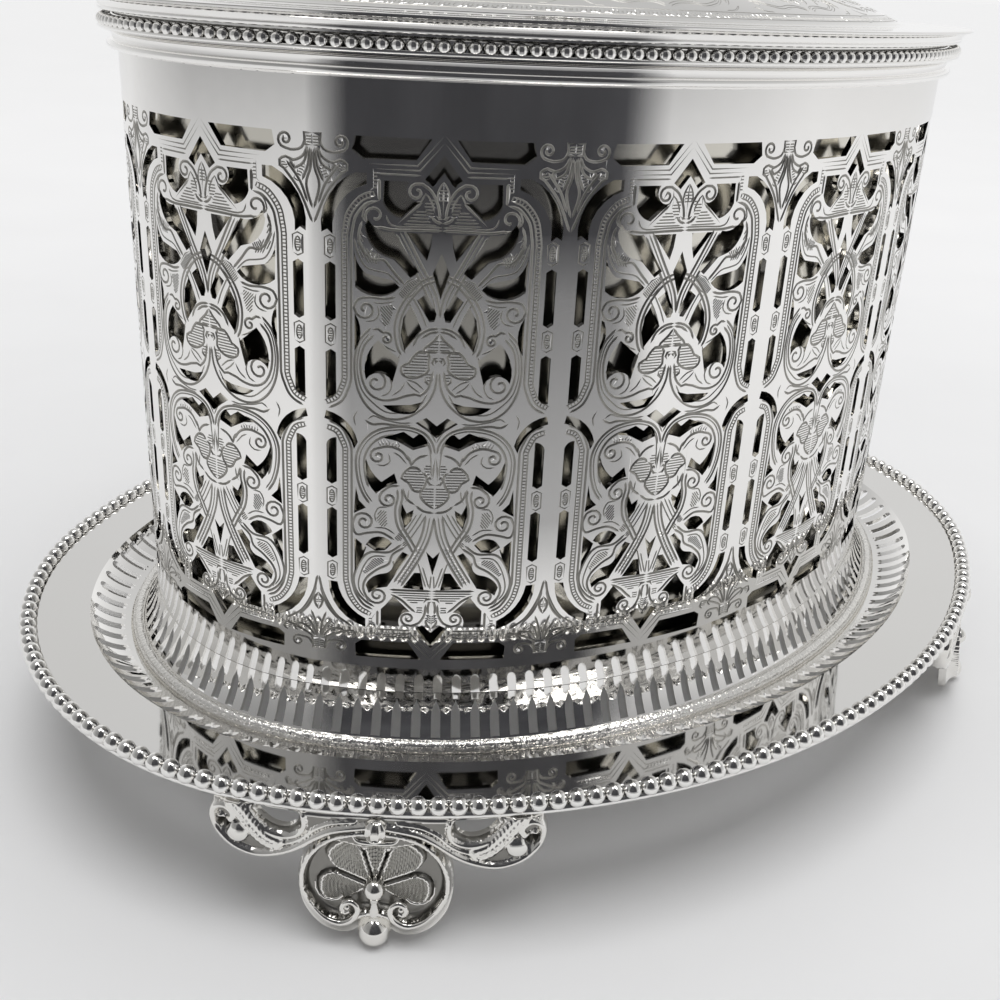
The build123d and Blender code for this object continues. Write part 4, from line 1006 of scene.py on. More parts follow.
# %% The lower bracket
BOLD += [np.array([(0, 13), (6.9, 13)])]
FINE += [np.array([(0, 12.5), (6.6, 12.5)])]
HATCH += shading([(0, 12.3), (6.2, 12.3), (4.4, 11.4), (3.3, 10.6), (1.6, 10.9), (0, 11.9)], 0, 0.42)
BOLD += [flow((0, 11.55), (0.9, 11.4), (1.35, 10.7)), flow((0, 11.05), (0.4, 10.9), (0.6, 9.6), (0.45, 8.6))]
HATCH += shading([(1.3, 10.3), (2.6, 10.1), (2.3, 9), (1.5, 8.8)], 0, 0.42)
BOLD += [np.vstack([flow((0.95, 10.6), (1.1, 8.6), (2, 7), (3.3, 6.4)),
    curl((3.8, 7.75), 1.3, -100, 1.35, 0.2)])]
BOLD += [flow((6.7, 12.2), (4.9, 11.2), (3.6, 9.9), (2.5, 8.9)), flow((0, 5.9), (0.65, 6.6), (1, 7.6))]
HATCH += shading([(0, 9.6), (0.6, 8.2), (0.75, 7.2), (0, 6.4)], 30, 0.34)

# %% The palmettes across the posts: drawn about a post, u = 18.5, its left half
HALF_PANEL = PANEL_WIDTH / 2
PALM_BOLD = [flow((4.6, 79.4), (2, 76), (0.1, 71.6)), flow((3.9, 80.1), (1.9, 77.4), (0.75, 74.4)),
    np.vstack([flow((0.9, 83.6), (1.6, 82), (3.2, 81.6), (4.6, 82)), curl((4, 83), 1.15, -60, 1.3, 0.2)]),
    flow((0.7, 82.3), (1.4, 80.9), (2.8, 80.2), (4, 80.6), (4.9, 80.1), (4.9, 79.3), (4.2, 78.9),
    (3.5, 79.3)), flow((0.35, 82.2), (0.7, 79.6), (1.6, 77.4)), flow((0.15, 82), (0.3, 79.4), (0.95, 77),
    (0.1, 73.6)), flow((0.6, 82.2), (1.3, 80), (2.7, 79.2), (3.2, 79.9), (2.4, 80.4)),
    np.array([(0, 84.1), (1.2, 84.1), (1.1, 82.5), (0, 82.4)]), flow((0.1, 14.5), (0.9, 11.2), (2.9, 7.6),
    (5.6, 5.6)), flow((0.3, 12.6), (1.5, 9), (3.4, 6.6)), flow((0, 11.4), (0.7, 9.8), (0, 8.1)),
    flow((0.25, 3), (0.5, 5.4), (1.3, 7.9)), flow((0.45, 3), (1.1, 5), (2.2, 6.6)),
    flow((0.7, 3), (1.9, 4.6), (3.6, 5), (4.3, 4.2), (3.6, 3.5)), flow((0.9, 2.8), (2.4, 3.7), (4.6, 4.6),
    (5.8, 4.7), (6.1, 3.9), (5.4, 3.3)),
    np.vstack([flow((1, 1), (1.7, 2.3), (3.2, 2.6)), curl((3.6, 1.6), 1.05, 110, -1.3, 0.2)]),
    np.array([(0, 2.7), (1.2, 2.7), (1, 0.7), (0, 0.6)])]
PALM_HATCH = shading([(0, 83.9), (1, 83.9), (0.95, 82.7), (0, 82.6)], 0, 0.4)
PALM_HATCH += shading([(0, 78.2), (0.45, 76.6), (0, 74.6)], 0, 0.36)
PALM_HATCH += rope(flow((1.35, 80), (1.9, 78.4), (2.5, 77.4)), 0.42, 0.3)
PALM_HATCH += shading([(3.6, 79.4), (4.4, 80.1), (4.9, 79.5), (4.2, 78.9)], 0, 0.36)
PALM_HATCH += shading([(0, 11.2), (0.6, 9.8), (0, 8.3)], 0, 0.36)
PALM_HATCH += shading([(0, 2.5), (1, 2.5), (0.9, 0.9), (0, 0.8)], 0, 0.4)
PALM_HATCH += rope(flow((1.9, 4.9), (2.6, 6), (3.2, 6.3)), 0.42, 0.3)
PALM_HATCH += shading([(4.6, 4.4), (5.9, 4.6), (6, 3.8), (5.2, 3.4)], 0, 0.36)
BOLD += [line * (-1, 1) + (HALF_PANEL, 0) for line in PALM_BOLD]
HATCH += [line * (-1, 1) + (HALF_PANEL, 0) for line in PALM_HATCH]
print("bold, fine and hatching lines in half a panel:", len(BOLD), len(FINE), len(HATCH))


# %% Cutting the lines
def grooves_of(place, *kinds):
    """Grooves for both halves of a drawing, moved to a place; a kind is (lines, half width, depth)."""
    return [(line + place, half, deep) for lines, half, deep in kinds
        for line in list(lines) + [line[::-1] * (-1, 1) for line in lines]]


def stroke(line, half):
    """A line, its width at each point, and its two banks, which run together at its ends."""
    if len(line) == 2:
        line = line[0] + np.outer((0, 0.1, 0.9, 1), line[1] - line[0])
    reach = np.full(len(line), half)
    reach[[0, -1]] = 0.0
    left = beside(line, 1.0) - line
    banks = np.vstack([line + left * reach[:, None], (line - left * reach[:, None])[::-1][1:-1]])
    return line, reach, banks


def groove_depth(flat, strokes):
    """How far each point is sunk: the deepest V that covers it, shallower where it tapers."""
    depth = np.zeros(len(flat))
    starts = np.vstack([line[:-1] for line, _, _ in strokes])
    runs = np.vstack([np.diff(line, axis=0) for line, _, _ in strokes])
    wide = np.vstack([np.column_stack([reach[:-1], reach[1:]]) for _, reach, _ in strokes])
    slope = np.concatenate([np.full(len(line) - 1, s) for line, _, s in strokes])
    low = np.minimum(starts[:, 1], starts[:, 1] + runs[:, 1]) - 0.25
    high = np.maximum(starts[:, 1], starts[:, 1] + runs[:, 1]) + 0.25
    for level in np.arange(flat[:, 1].min(), flat[:, 1].max() + 1.0, 1.0):
        here = np.where((flat[:, 1] >= level) & (flat[:, 1] < level + 1.0))[0]
        near = np.where((low < level + 1.0) & (high > level))[0]
        if not len(here) or not len(near):
            continue
        gap = flat[here][:, None] - starts[near][None]
        run = runs[near]
        share = np.clip((gap * run).sum(2) / np.maximum((run * run).sum(1), 1e-12), 0, 1)
        away = np.linalg.norm(gap - share[..., None] * run, axis=2)
        half = wide[near, 0] * (1 - share) + wide[near, 1] * share
        depth[here] = (slope[near] * np.clip(half - away, 0, 1)).max(1)
    return depth


SUNK = 0.004                # a face deeper than this counts as cut


def engraved_cell(width, span, openings, grooves, columns, thickness, rows=()):
    """A flat panel in the (along, outward, up) frame, engraved in front and plain behind."""
    drawing = panel_drawing(width, span, openings, columns, rows)

    def cut():
        flat, faces = cut_up(drawing, 1e-4)
        middles = flat[faces].mean(1)
        keep = (middles[:, 0] > 0) & (middles[:, 0] < width)
        for loop in openings:
            near = np.where(keep & (abs(middles - loop.mean(0)) < np.ptp(loop, axis=0)).all(1))[0]
            keep[near[inside(middles[near], loop)]] = False
        return flat, faces[keep]

    behind, behind_faces = cut()
    strokes = []
    for line, half, deep in grooves:
        middle, reach, banks = stroke(line, half)
        add_line(drawing, middle, closed=False)
        add_line(drawing, banks)
        strokes.append((middle, reach, deep / half))
    flat, faces = cut()
    depth = groove_depth(flat, strokes)
    cell = bmesh.new()
    mark = cell.faces.layers.int.new("cut")
    top = [cell.verts.new((x, -d, z)) for (x, z), d in zip(flat, depth)]
    bottom = [cell.verts.new((x, -thickness, z)) for x, z in behind]
    for (a, b, c), sunk in zip(faces, groove_depth(flat[faces].mean(1), strokes) > SUNK):
        cell.faces.new((top[a], top[b], top[c]))[mark] = int(sunk)
    for a, b, c in behind_faces:
        cell.faces.new((bottom[c], bottom[b], bottom[a]))
    join_borders(cell, (top, flat, borders(faces)), (bottom, behind, borders(behind_faces)), width)
    drop_loose(cell)
    return cell


def borders(faces):
    """The closed borders of a sheet, as loops of point numbers."""
    used = {(a, b) for tri in faces.tolist() for a, b in zip(tri, tri[1:] + tri[:1])}
    after = {a: b for a, b in used if (b, a) not in used}
    loops = []
    while after:
        first, here = next(iter(after.items()))
        loop = [first]
        del after[first]
        while here != first and here in after:
            loop.append(here)
            here = after.pop(here)
        loops.append(loop)
    return loops


def join_borders(cell, front, back, width):
    """The sawn edges: strips of triangles from each border of the front to the same one behind."""
    top, flat, front_loops = front
    bottom, behind, back_loops = back

    def box(places):
        return np.concatenate([places.min(0), places.max(0)])

    boxes = np.array([box(behind[loop]) for loop in back_loops])
    for loop in front_loops:
        gap = abs(boxes - box(flat[loop])).max(1)
        if gap.min() > 0.05:
            print("a border without a partner near", flat[loop].mean(0))
            continue
        other = back_loops[int(gap.argmin())]
        start = int(np.linalg.norm(behind[other] - flat[loop[0]], axis=1).argmin())
        other = other[start:] + other[:start] + [other[start]]
        loop = loop + loop[:1]
        i = j = 0
        while i < len(loop) - 1 or j < len(other) - 1:
            step_front = i < len(loop) - 1 and (
                j == len(other) - 1 or np.linalg.norm(flat[loop[i + 1]] - behind[other[j]])
                <= np.linalg.norm(flat[loop[i]] - behind[other[j + 1]]))
            if step_front:
                corners = (top[loop[i + 1]], top[loop[i]], bottom[other[j]])
                i += 1
            else:
                corners = (top[loop[i]], bottom[other[j]], bottom[other[j + 1]])
                j += 1
            x = [corner.co.x for corner in corners]
            if max(x) > 1e-3 and min(x) < width - 1e-3:
                cell.faces.new(corners)


# %% The engraved wall
panel_columns = np.linspace(0, PANEL_WIDTH, 15)[1:-1]
place_up = (HALF_PANEL, PATTERN_Z)
panel_holes = [loop + place_up for loop in PANEL_LOOPS]
panel_grooves = grooves_of(place_up, (BOLD, 0.21, 0.13), (FINE, 0.13, 0.08), (HATCH, 0.11, 0.07))
wall_cell = engraved_cell(PANEL_WIDTH, (WALL_FOOT, WALL_TOP), panel_holes, panel_grooves, panel_columns,
    WALL_THICKNESS)
print("faces in one panel:", len(wall_cell.faces))


def outward_of(places):
    """The oval's outward direction at places given in millimetres."""
    places = places[:, :2]
    best = np.full(len(places), 1e9)
    outward = np.zeros((len(places), 2))
    for x, y, radius, start, turn in ARCS:
        away = places - (x, y)
        reach = np.linalg.norm(away, axis=1)
        angle = (np.arctan2(away[:, 1], away[:, 0]) - start + 1e-6) % (2 * math.pi)
        off = np.where(angle <= turn + 2e-6, abs(reach - radius), 1e8)
        nearer = off < best
        best[nearer] = off[nearer]
        outward[nearer] = (away / reach[:, None])[nearer]
    return np.column_stack([outward, np.zeros(len(outward))])


def true_normals(mesh, true_way):
    """Gives a sheet the true normals of its surface, and keeps cut lines and sawn edges crisp."""
    corners = np.empty(len(mesh.loops), int)
    mesh.loops.foreach_get("vertex_index", corners)
    places = np.empty(len(mesh.vertices) * 3)
    mesh.vertices.foreach_get("co", places)
    places = places.reshape(-1, 3)
    face_normals = np.empty(len(mesh.polygons) * 3)
    mesh.polygons.foreach_get("normal", face_normals)
    face_normals = face_normals.reshape(-1, 3)
    sizes = np.empty(len(mesh.polygons), int)
    mesh.polygons.foreach_get("loop_total", sizes)
    face_of = np.repeat(np.arange(len(sizes)), sizes)
    normals = face_normals[face_of]
    target = true_way(places / MM)[corners]
    agree = (normals * target).sum(1)
    normals = np.where((agree > 0.995)[:, None], target, normals)
    normals = np.where((agree < -0.995)[:, None], -target, normals)
    mesh.normals_split_custom_set(normals.tolist())


def finish_engraving(mesh, true_way):
    """Mirror silver outside the cuts, engraved silver in them, and crisp normals."""
    mesh.materials.clear()
    mesh.materials.append(MIRROR)
    mesh.materials.append(ENGRAVED)
    cut_marks = np.zeros(len(mesh.polygons), np.int32)
    mesh.attributes["cut"].data.foreach_get("value", cut_marks)
    mesh.polygons.foreach_set("material_index", (cut_marks == 1).astype(np.int32))
    mesh.attributes.remove(mesh.attributes["cut"])
    true_normals(mesh, true_way)


WALL_NAMES = ("pierced_wall_front_right", "pierced_wall_back_right", "pierced_wall_back_left",
    "pierced_wall_front_left")
walls = []
for quarter, name in enumerate(WALL_NAMES):
    part = bend(name, wall_cell.copy(), PANEL_WIDTH, 3, 0.0, MIRROR, start=quarter * 3 * PANEL_WIDTH,
        crease=None, all_round=PANELS)
    finish_engraving(part.data, outward_of)
    walls.append(part)
wall_cell.free()

# %% [markdown]
# ## The lid
# The cover is one raised sheet: a flat margin with a sharp edge, then a low dome. Rings of
# points blend from the oval at the margin to a circle under the finial.

# %% The dome
MARGIN_TOP = 135.5
SEAT_Z = 144.6
DOME_START = -7.0           # offset of the dome's foot
SEAT_HALF = (16.0, 12.0)
DOME_HALF = abs(on_oval(np.arange(480) / 40, DOME_START)[0]).max(0)
COVER_THICKNESS = 0.9
EDGE_SECTION = ((-5.0, 135.0), (4.3, 135.0), (4.48, 135.08), (4.5, 135.3), (4.42, 135.46), (4.2, 135.5),
    (2.0, 135.5), (-2.0, 135.5), (-6.0, 135.5))


def on_dome(marks, share):
    """Places on the dome: marks count panels round it, share 0 is its foot on the margin, 1 its seat."""
    foot, _ = on_oval(marks, DOME_START)
    angle = np.arctan2(foot[:, 1] / DOME_HALF[1], foot[:, 0] / DOME_HALF[0])
    seat = np.column_stack([SEAT_HALF[0] * np.cos(angle), SEAT_HALF[1] * np.sin(angle)])
    share = np.broadcast_to(share, len(marks))
    rise = (1 - (1 - share) ** 2.1) * (1 - np.exp(-share * 22))
    flat = foot * (1 - share)[:, None] + seat * share[:, None]
    return np.column_stack([flat, MARGIN_TOP + (SEAT_Z - MARGIN_TOP) * rise])


def lid_cover(name):
    """The cover: its edge and margin, the dome up to the finial's seat, and the sheet's underside."""
    work = bmesh.new()

    def ring_at(places, z):
        return [work.verts.new((x * MM, y * MM, z * MM)) for x, y in places]

    rings = [ring_at(on_oval(RING_MARKS, offset)[0], z) for offset, z in EDGE_SECTION]
    for share in np.linspace(0, 1, 30) ** 1.3:
        ring = on_dome(RING_MARKS, share)
        rings.append(ring_at(ring[:, :2], float(ring[0, 2])))
    under = []
    for share in np.linspace(1, 0.02, 16):
        ring = on_dome(RING_MARKS, share)
        under.append(ring_at(ring[:, :2] * (1 - 0.010 * (1 - share)), float(ring[0, 2]) - COVER_THICKNESS))
    ring_skin(work, rings, capped=False)
    work.faces.new(rings[-1])
    ring_skin(work, under, capped=False)
    work.faces.new(under[0][::-1])
    ring_skin(work, [under[-1], rings[0]], capped=False)
    bmesh.ops.recalc_face_normals(work, faces=work.faces)
    return smooth_object(name, work, [MIRROR], 30)


cover = lid_cover("lid_cover_sheet")
print("lid cover triangles:", triangle_count(cover.data))

# %% [markdown]
# ## The engraved band of the lid
# The dome carries a band of scrolls and leaves, repeated with the panels below. It is drawn flat
# like a panel, x along the edge and y in towards the finial, and laid on the dome as a skin that
# stands a twentieth of a millimetre proud and sinks well into the sheet.

# %% Drawing of one sector
BAND_DEEP = 24.0
BAND_SHARES = (0.03, 0.60)
SKIN_PROUD = 0.05
lid_scroll = np.vstack([flow((0.6, 4), (2.6, 4.9), (5.4, 5), (8.6, 4.4), (11.4, 5.2)),
    curl((10.7, 9), 3.8, -70, 1.3)])
lid_leaf = [(0, 6.2), (1.5, 8.4), (2, 11.6), (1.2, 15), (0, 17.6)]
lid_side_leaf = [(2.6, 6.4), (4.8, 8.2), (5.6, 11.2), (4.6, 14.4), (2.9, 16.2), (3.7, 13.2), (3.6, 9.8)]
lid_outer_leaf = [(14.2, 5.2), (16, 8), (16.8, 11.8), (15.6, 15.6), (13.2, 18.2), (14.3, 13.6), (14.5, 9.2)]
LID_BOLD = [lid_scroll, flow(*lid_leaf), flow(*lid_side_leaf, lid_side_leaf[0]),
    flow(*lid_outer_leaf, lid_outer_leaf[0]),
    np.vstack([flow((1.6, 19.4), (4.6, 18.4), (7.2, 16.2), (9.8, 15.4)), curl((10, 17.5), 2.1, -90, 1.2)])]
LID_FINE = [beside(lid_scroll[:-6], 0.75), flow((4.4, 17.4), (6.6, 15.4), (9, 14.3), (11.6, 14.6)),
    flow((7, 6.2), (8.6, 7.8), (9.4, 9.6)), flow((12.4, 3.4), (14.6, 3.6), (16.6, 5)),
    flow((0.7, 19), (1.9, 20.4), (4.4, 20.6), (7.4, 20))]
LID_HATCH = shading(lid_leaf, 0, 0.6) + shading(lid_side_leaf, 35, 0.55) + shading(lid_outer_leaf, 30, 0.55)
LID_HATCH += rope(np.array([(0.3, 1.9), (18.4, 1.9)]), 0.8, 0.35)
band_grooves = grooves_of((HALF_PANEL, 0), (LID_BOLD, 0.27, 0.12), (LID_FINE, 0.17, 0.09),
    (LID_HATCH, 0.14, 0.08))
for deep, half_wide in ((1, 0.22), (2.8, 0.22), (BAND_DEEP - 2.2, 0.15), (BAND_DEEP - 1.2, 0.22)):
    band_grooves.append((np.array([(x, deep) for x in np.linspace(-1, PANEL_WIDTH + 1, 20)]), half_wide, 0.1))
band_cell = engraved_cell(PANEL_WIDTH, (0.0, BAND_DEEP), [], band_grooves, panel_columns, 0.35,
    rows=np.linspace(0, BAND_DEEP, 14)[1:-1])
print("faces in one sector:", len(band_cell.faces))


# %% The skin on the dome
def dome_frame(marks, share):
    """Places on the dome with the direction that points out of it."""
    step = 1e-3
    along = on_dome((marks + step) % PANELS, share) - on_dome((marks - step) % PANELS, share)
    inward = on_dome(marks, share + step) - on_dome(marks, share - step)
    out = np.cross(along, inward)
    return on_dome(marks, share), out / np.linalg.norm(out, axis=1)[:, None]


def engraved_band(name, cell):
    work = bmesh.new()
    mark_layer = work.faces.layers.int.new("cut")
    source = cell.faces.layers.int["cut"]
    cell.verts.index_update()
    flat = np.array([vert.co for vert in cell.verts])
    share = BAND_SHARES[0] + (BAND_SHARES[1] - BAND_SHARES[0]) * flat[:, 2] / BAND_DEEP
    faces = [([vert.index for vert in face.verts], face[source]) for face in cell.faces]
    for sector in range(PANELS):
        places, out = dome_frame((sector + flat[:, 0] / PANEL_WIDTH) % PANELS, share)
        verts = [work.verts.new(p) for p in (places + out * (SKIN_PROUD + flat[:, 1:2])) * MM]
        for corners, mark in faces:
            work.faces.new([verts[k] for k in corners])[mark_layer] = mark
    bmesh.ops.remove_doubles(work, verts=work.verts, dist=0.004 * MM)
    if work.calc_volume(signed=True) < 0:
        bmesh.ops.reverse_faces(work, faces=work.faces)
    print("open edges in the band:", sum(edge.is_boundary for edge in work.edges))
    made = smooth_object(name, work, [])
    table_marks = np.linspace(0, PANELS, 721)[:-1]
    table_share = np.linspace(BAND_SHARES[0] - 0.01, BAND_SHARES[1] + 0.01, 60)
    grid = [dome_frame(table_marks, share) for share in table_share]
    known = KDTree(len(table_marks) * len(table_share))
    ways = np.vstack([out for _, out in grid])
    for k, place in enumerate(np.vstack([places for places, _ in grid])):
        known.insert(place, k)
    known.balance()

    def out_of_dome(places):
        near = [known.find_n(p, 4) for p in places]
        weight = np.array([[1 / (gap + 1e-3) for _, _, gap in found] for found in near])
        mixed = (ways[np.array([[k for _, k, _ in found] for found in near])] * weight[:, :, None]).sum(1)
        return mixed / np.linalg.norm(mixed, axis=1)[:, None]

    finish_engraving(made.data, out_of_dome)
    print(name, "triangles:", triangle_count(made.data))
    return made


lid_band = engraved_band("lid_engraved_band", band_cell)
band_cell.free()

# %% [markdown]
# ## The finial
# The knob is turned and then chased with slanting gadroons, on a cast rosette of eight petals.
# Both are rings of points about an upright line: the chasing is a wave in each ring's radius,
# which fades out above and below the bulb and turns a little from ring to ring.


# %% Rosette and knob
def chased(name, rows, lobes, deep, twist=0.0, lift=0.0, sides=192):
    """A turned piece: rows of (radius, height, how strongly it is chased)."""
    work = bmesh.new()
    angle = np.arange(sides) / sides * 2 * math.pi
    rings = []
    for radius, height, strong in rows:
        lobe = np.abs(np.cos(lobes / 2 * (angle + math.pi / lobes - twist * (height - rows[0][1]))))
        wide = radius * (1 - deep * strong * (1 - lobe ** 0.7))
        high = height + lift * strong * (lobe - 0.6)
        rings.append([work.verts.new((w * math.cos(a) * MM, w * math.sin(a) * MM, z * MM))
            for w, a, z in zip(wide, angle, high)])
    ring_skin(work, rings)
    return smooth_object(name, work, [POLISHED_CAST], 40)


def smooth_rows(*points):
    """Rows of (radius, height, chasing) with a smooth outline through the given ones."""
    line = flow(*[point[:2] for point in points], step=0.3)
    heights = [point[1] for point in points]
    return [(max(r, 0.05), z, float(np.interp(z, heights, [point[2] for point in points]))) for r, z in line]


rosette = chased("finial_rosette", [(10.3, 144.55, 1), (10.5, 144.75, 1), (10.45, 145, 1), (10.1, 145.25, 1),
    (9.4, 145.45, 1), (8.5, 145.6, 1), (7.5, 145.6, 0.9), (6.6, 145.5, 0.6), (6, 145.4, 0.2),
    (5.7, 145.45, 0), (5.5, 145.75, 0), (5.2, 146.1, 0), (4.9, 146.35, 0), (4.6, 146.42, 0)], 8, 0.16,
    lift=0.3)
knob = chased("finial_knob", smooth_rows(
    (4.7, 146.4, 0), (4.8, 146.9, 0), (4.3, 147.4, 0), (3.4, 147.9, 0), (3.1, 148.9, 0), (3.3, 150.2, 0),
    (4.6, 151.1, 0), (5.6, 151.9, 0), (5.7, 152.6, 0), (5.1, 153.2, 0.1), (5.7, 154, 0.6), (6.8, 155.9, 1),
    (7.5, 158, 1), (7.5, 159.8, 1), (7, 162.2, 1), (6.1, 164.6, 1), (5.2, 166.2, 0.6), (4.6, 167, 0.1),
    (4.9, 167.5, 0), (4.6, 168.1, 0), (3.2, 168.8, 0), (2.2, 169.9, 0), (1.4, 170.8, 0), (1.5, 171.4, 0),
    (1.2, 172, 0), (0.5, 172.35, 0)), 14, 0.13, twist=0.05)
print("finial triangles:", triangle_count(rosette.data) + triangle_count(knob.data))

# %% [markdown]
# ## The feet
# Each foot is a casting: a rimmed shell that leans out over a ball, with scrolled wings soldered
# under the bead wire. Casting gives soft relief, so shell and wings are sheets of small triangles
# whose height comes from how far each point lies from an edge or a drawn line. The rim ends in
# two curls, which are tapered wires, because a relief can't curl over itself. One foot is made in
# its own frame, x along the oval, y up and z outwards, and mirrored to the four places.

# %% Relief sheets for castings
FOOT_PLACE = (73.0, -62.6)


def far_from(flat, line, closed=False):
    """Each point's distance from a drawn line."""
    line = np.array(line, float)
    if closed:
        line = np.vstack([line, line[:1]])
    best = np.full(len(flat), 1e9)
    for p, q in zip(line, line[1:]):
        run = q - p
        share = np.clip(((flat - p) @ run) / max(run @ run, 1e-12), 0, 1)
        best = np.minimum(best, np.linalg.norm(flat - p - share[:, None] * run, axis=1))
    return best


def even_loop(points, step):
    """A smooth closed loop through the points, in even steps."""
    points = list(points)
    line = flow(*points[-2:], *points, *points[:2], step=step / 4)
    start = np.linalg.norm(line - points[0], axis=1).argmin()
    finish = start + np.linalg.norm(line[start + 8:] - points[0], axis=1).argmin() + 8
    line = line[start:finish + 1]
    marks = np.concatenate([[0], np.cumsum(np.linalg.norm(np.diff(line, axis=0), axis=1))])
    wanted = np.linspace(0, marks[-1], max(8, int(marks[-1] / step)) + 1)[:-1]
    return np.column_stack([np.interp(wanted, marks, line[:, k]) for k in (0, 1)])


def relief_sheet(outline, openings, creases, step):
    """Triangles of a flat sheet: even points inside the outline, and every edge and crease kept."""
    lines = [(outline, True)] + [(loop, True) for loop in openings] + [(crease, False) for crease in creases]
    drawing = ([], [])
    for line, closed in lines:
        add_line(drawing, line, closed)
    low, high = outline.min(0), outline.max(0)
    rows = []
    for k, y in enumerate(np.arange(low[1], high[1], step * 0.866)):
        x = np.arange(low[0] + (k % 2) * step / 2, high[0], step)
        rows.append(np.column_stack([x, np.full(len(x), y)]))
    grid = np.vstack(rows)
    keep = inside(grid, outline)
    for loop in openings:
        keep &= ~inside(grid, loop)
    for line, closed in lines:
        keep &= far_from(grid, line, closed) > step * 0.5
    drawing[0].extend(map(tuple, grid[keep]))
    flat, faces = cut_up(drawing)
    middles = flat[faces].mean(1)
    good = inside(middles, outline)
    for loop in openings:
        good &= ~inside(middles, loop)
    return flat, faces[good]


def thick_sheet(work, faces, front, back, finish, pattern):
    """Adds a closed sheet: front and back points, each face's finish and each point's UV place."""
    layer = work.loops.layers.uv.active
    top = [work.verts.new(p) for p in front]
    bottom = [work.verts.new(p) for p in back]
    for corners, number in zip(faces, finish):
        a, b, c = corners
        face = work.faces.new((top[a], top[b], top[c]))
        face.material_index = int(number)
        for loop, k in zip(face.loops, corners):
            loop[layer].uv = pattern[k]
        work.faces.new((bottom[c], bottom[b], bottom[a]))
    for loop in borders(faces):
        for a, b in zip(loop, loop[1:] + loop[:1]):
            work.faces.new((top[b], top[a], bottom[a], bottom[b]))
    drop_loose(work)


def tapered_wire(work, line, radii, sides=12):
    """Adds a round wire along a line in space, with a radius at each point and closed ends."""
    line = np.array(line, float)
    along = np.gradient(line, axis=0)
    along /= np.linalg.norm(along, axis=1)[:, None]
    side = np.cross(along[0], (0.31, 0.17, 0.93))
    rings = []
    for place, way, radius in zip(line, along, radii):
        side = side - (side @ way) * way
        side /= np.linalg.norm(side)
        other = np.cross(way, side)
        angle = np.arange(sides) / sides * 2 * math.pi
        ring = place + radius * (np.cos(angle)[:, None] * side + np.sin(angle)[:, None] * other)
        rings.append([work.verts.new(p) for p in ring])
    ring_skin(work, rings)


def turned(work, profile, place, sides=32, flutes=0, depth=0.0, floor=None):
    """Adds a shape turned about an upright line: rows of (radius, height), closed at both ends."""
    angle = np.arange(sides) / sides * 2 * math.pi
    wave = 1 - depth * np.abs(np.sin(flutes * angle / 2)) if flutes else np.ones(sides)
    rings = []
    for radius, height in profile:
        y = place[1] + height
        if floor is not None:
            y = max(y, floor)
        rings.append([work.verts.new((place[0] + radius * w * math.cos(a), y,
            place[2] + radius * w * math.sin(a))) for a, w in zip(angle, wave)])
    ring_skin(work, rings, turned_over=True)


def ball_profile(radius, rows=18):
    angle = np.linspace(-math.pi / 2, math.pi / 2, rows + 1)
    angle[0] += 0.05
    angle[-1] -= 0.05
    return np.column_stack([radius * np.cos(angle), radius * np.sin(angle)])


# %% The shell of a foot
SHELL_HEIGHT_UP = 12.0      # where the shell's own origin stands above the table
SHELL_BACK = -2.2
SHELL_LEAN = math.radians(7.0)
FAN_ROOT = np.array([0.0, -1.6])
FAN = [(0.0, 17.0, 8.6), (41.5, 24.5, 9.9), (-41.5, 24.5, 9.9), (94.0, 27.0, 9.0), (-94.0, 27.0, 9.0)]


def on_shell(flat, height):
    """From the shell's leaning face to the foot's frame."""
    x, up = flat.T
    y = SHELL_HEIGHT_UP + up * math.cos(SHELL_LEAN) + height * math.sin(SHELL_LEAN)
    return np.column_stack([x, y, SHELL_BACK - up * math.sin(SHELL_LEAN) + height * math.cos(SHELL_LEAN)])


def whole(half):
    """A closed loop from its right half, given from the top down to the bottom."""
    half = np.array(half, float)
    return np.vstack([half, (half[::-1] * (-1, 1))[1:-1]])[::-1]


shell_outline = even_loop(whole([(0, 8.5), (2.4, 8.4), (5.2, 7.7), (8.2, 6.3), (10.3, 4.3), (11.6, 2),
    (12, -0.6), (11.8, -3.6), (11, -6.4), (9.2, -9), (6.8, -10.6), (4.2, -10.9), (2.3, -9.9), (0, -9)]), 0.3)
shell_ridge = even_loop(whole([(0, 8.1), (3, 7.9), (6.4, 7), (9, 5.1), (10.6, 2.6), (11.2, 0), (10.9, -2.6),
    (9.6, -5), (7.7, -6.9), (5.4, -7.7), (3.5, -7.1), (1.7, -6.2), (0, -6)]), 0.3)


def fan_height(flat):
    """The five stippled lobes, how strongly each point belongs to one, and its place in polar form."""
    away = flat - FAN_ROOT
    reach = np.linalg.norm(away, axis=1)
    angle = np.degrees(np.arctan2(away[:, 0], away[:, 1]))
    height = np.zeros(len(flat))
    member = np.zeros(len(flat))
    for middle, spread, length in FAN:
        share = np.clip(np.abs(angle - middle) / spread, 0, 1)
        end = length * (1 - share ** 3.2) ** (1 / 3.2)
        edge = np.minimum((end - reach) / 0.9, (1 - share) * reach * math.radians(spread) / 0.55)
        within = np.clip(edge, 0, 1)
        pillow = np.sqrt(1 - (1 - within) ** 2)
        dish = np.clip(1 - np.minimum(end - reach, (1 - share) * reach * math.radians(spread)) / 1.9, 0, 1)
        lobe = pillow * (0.50 + 0.42 * dish)
        height = np.maximum(height, lobe)
        member = np.maximum(member, (within > 0.85).astype(float))
    return height, member, reach, np.radians(angle) * reach


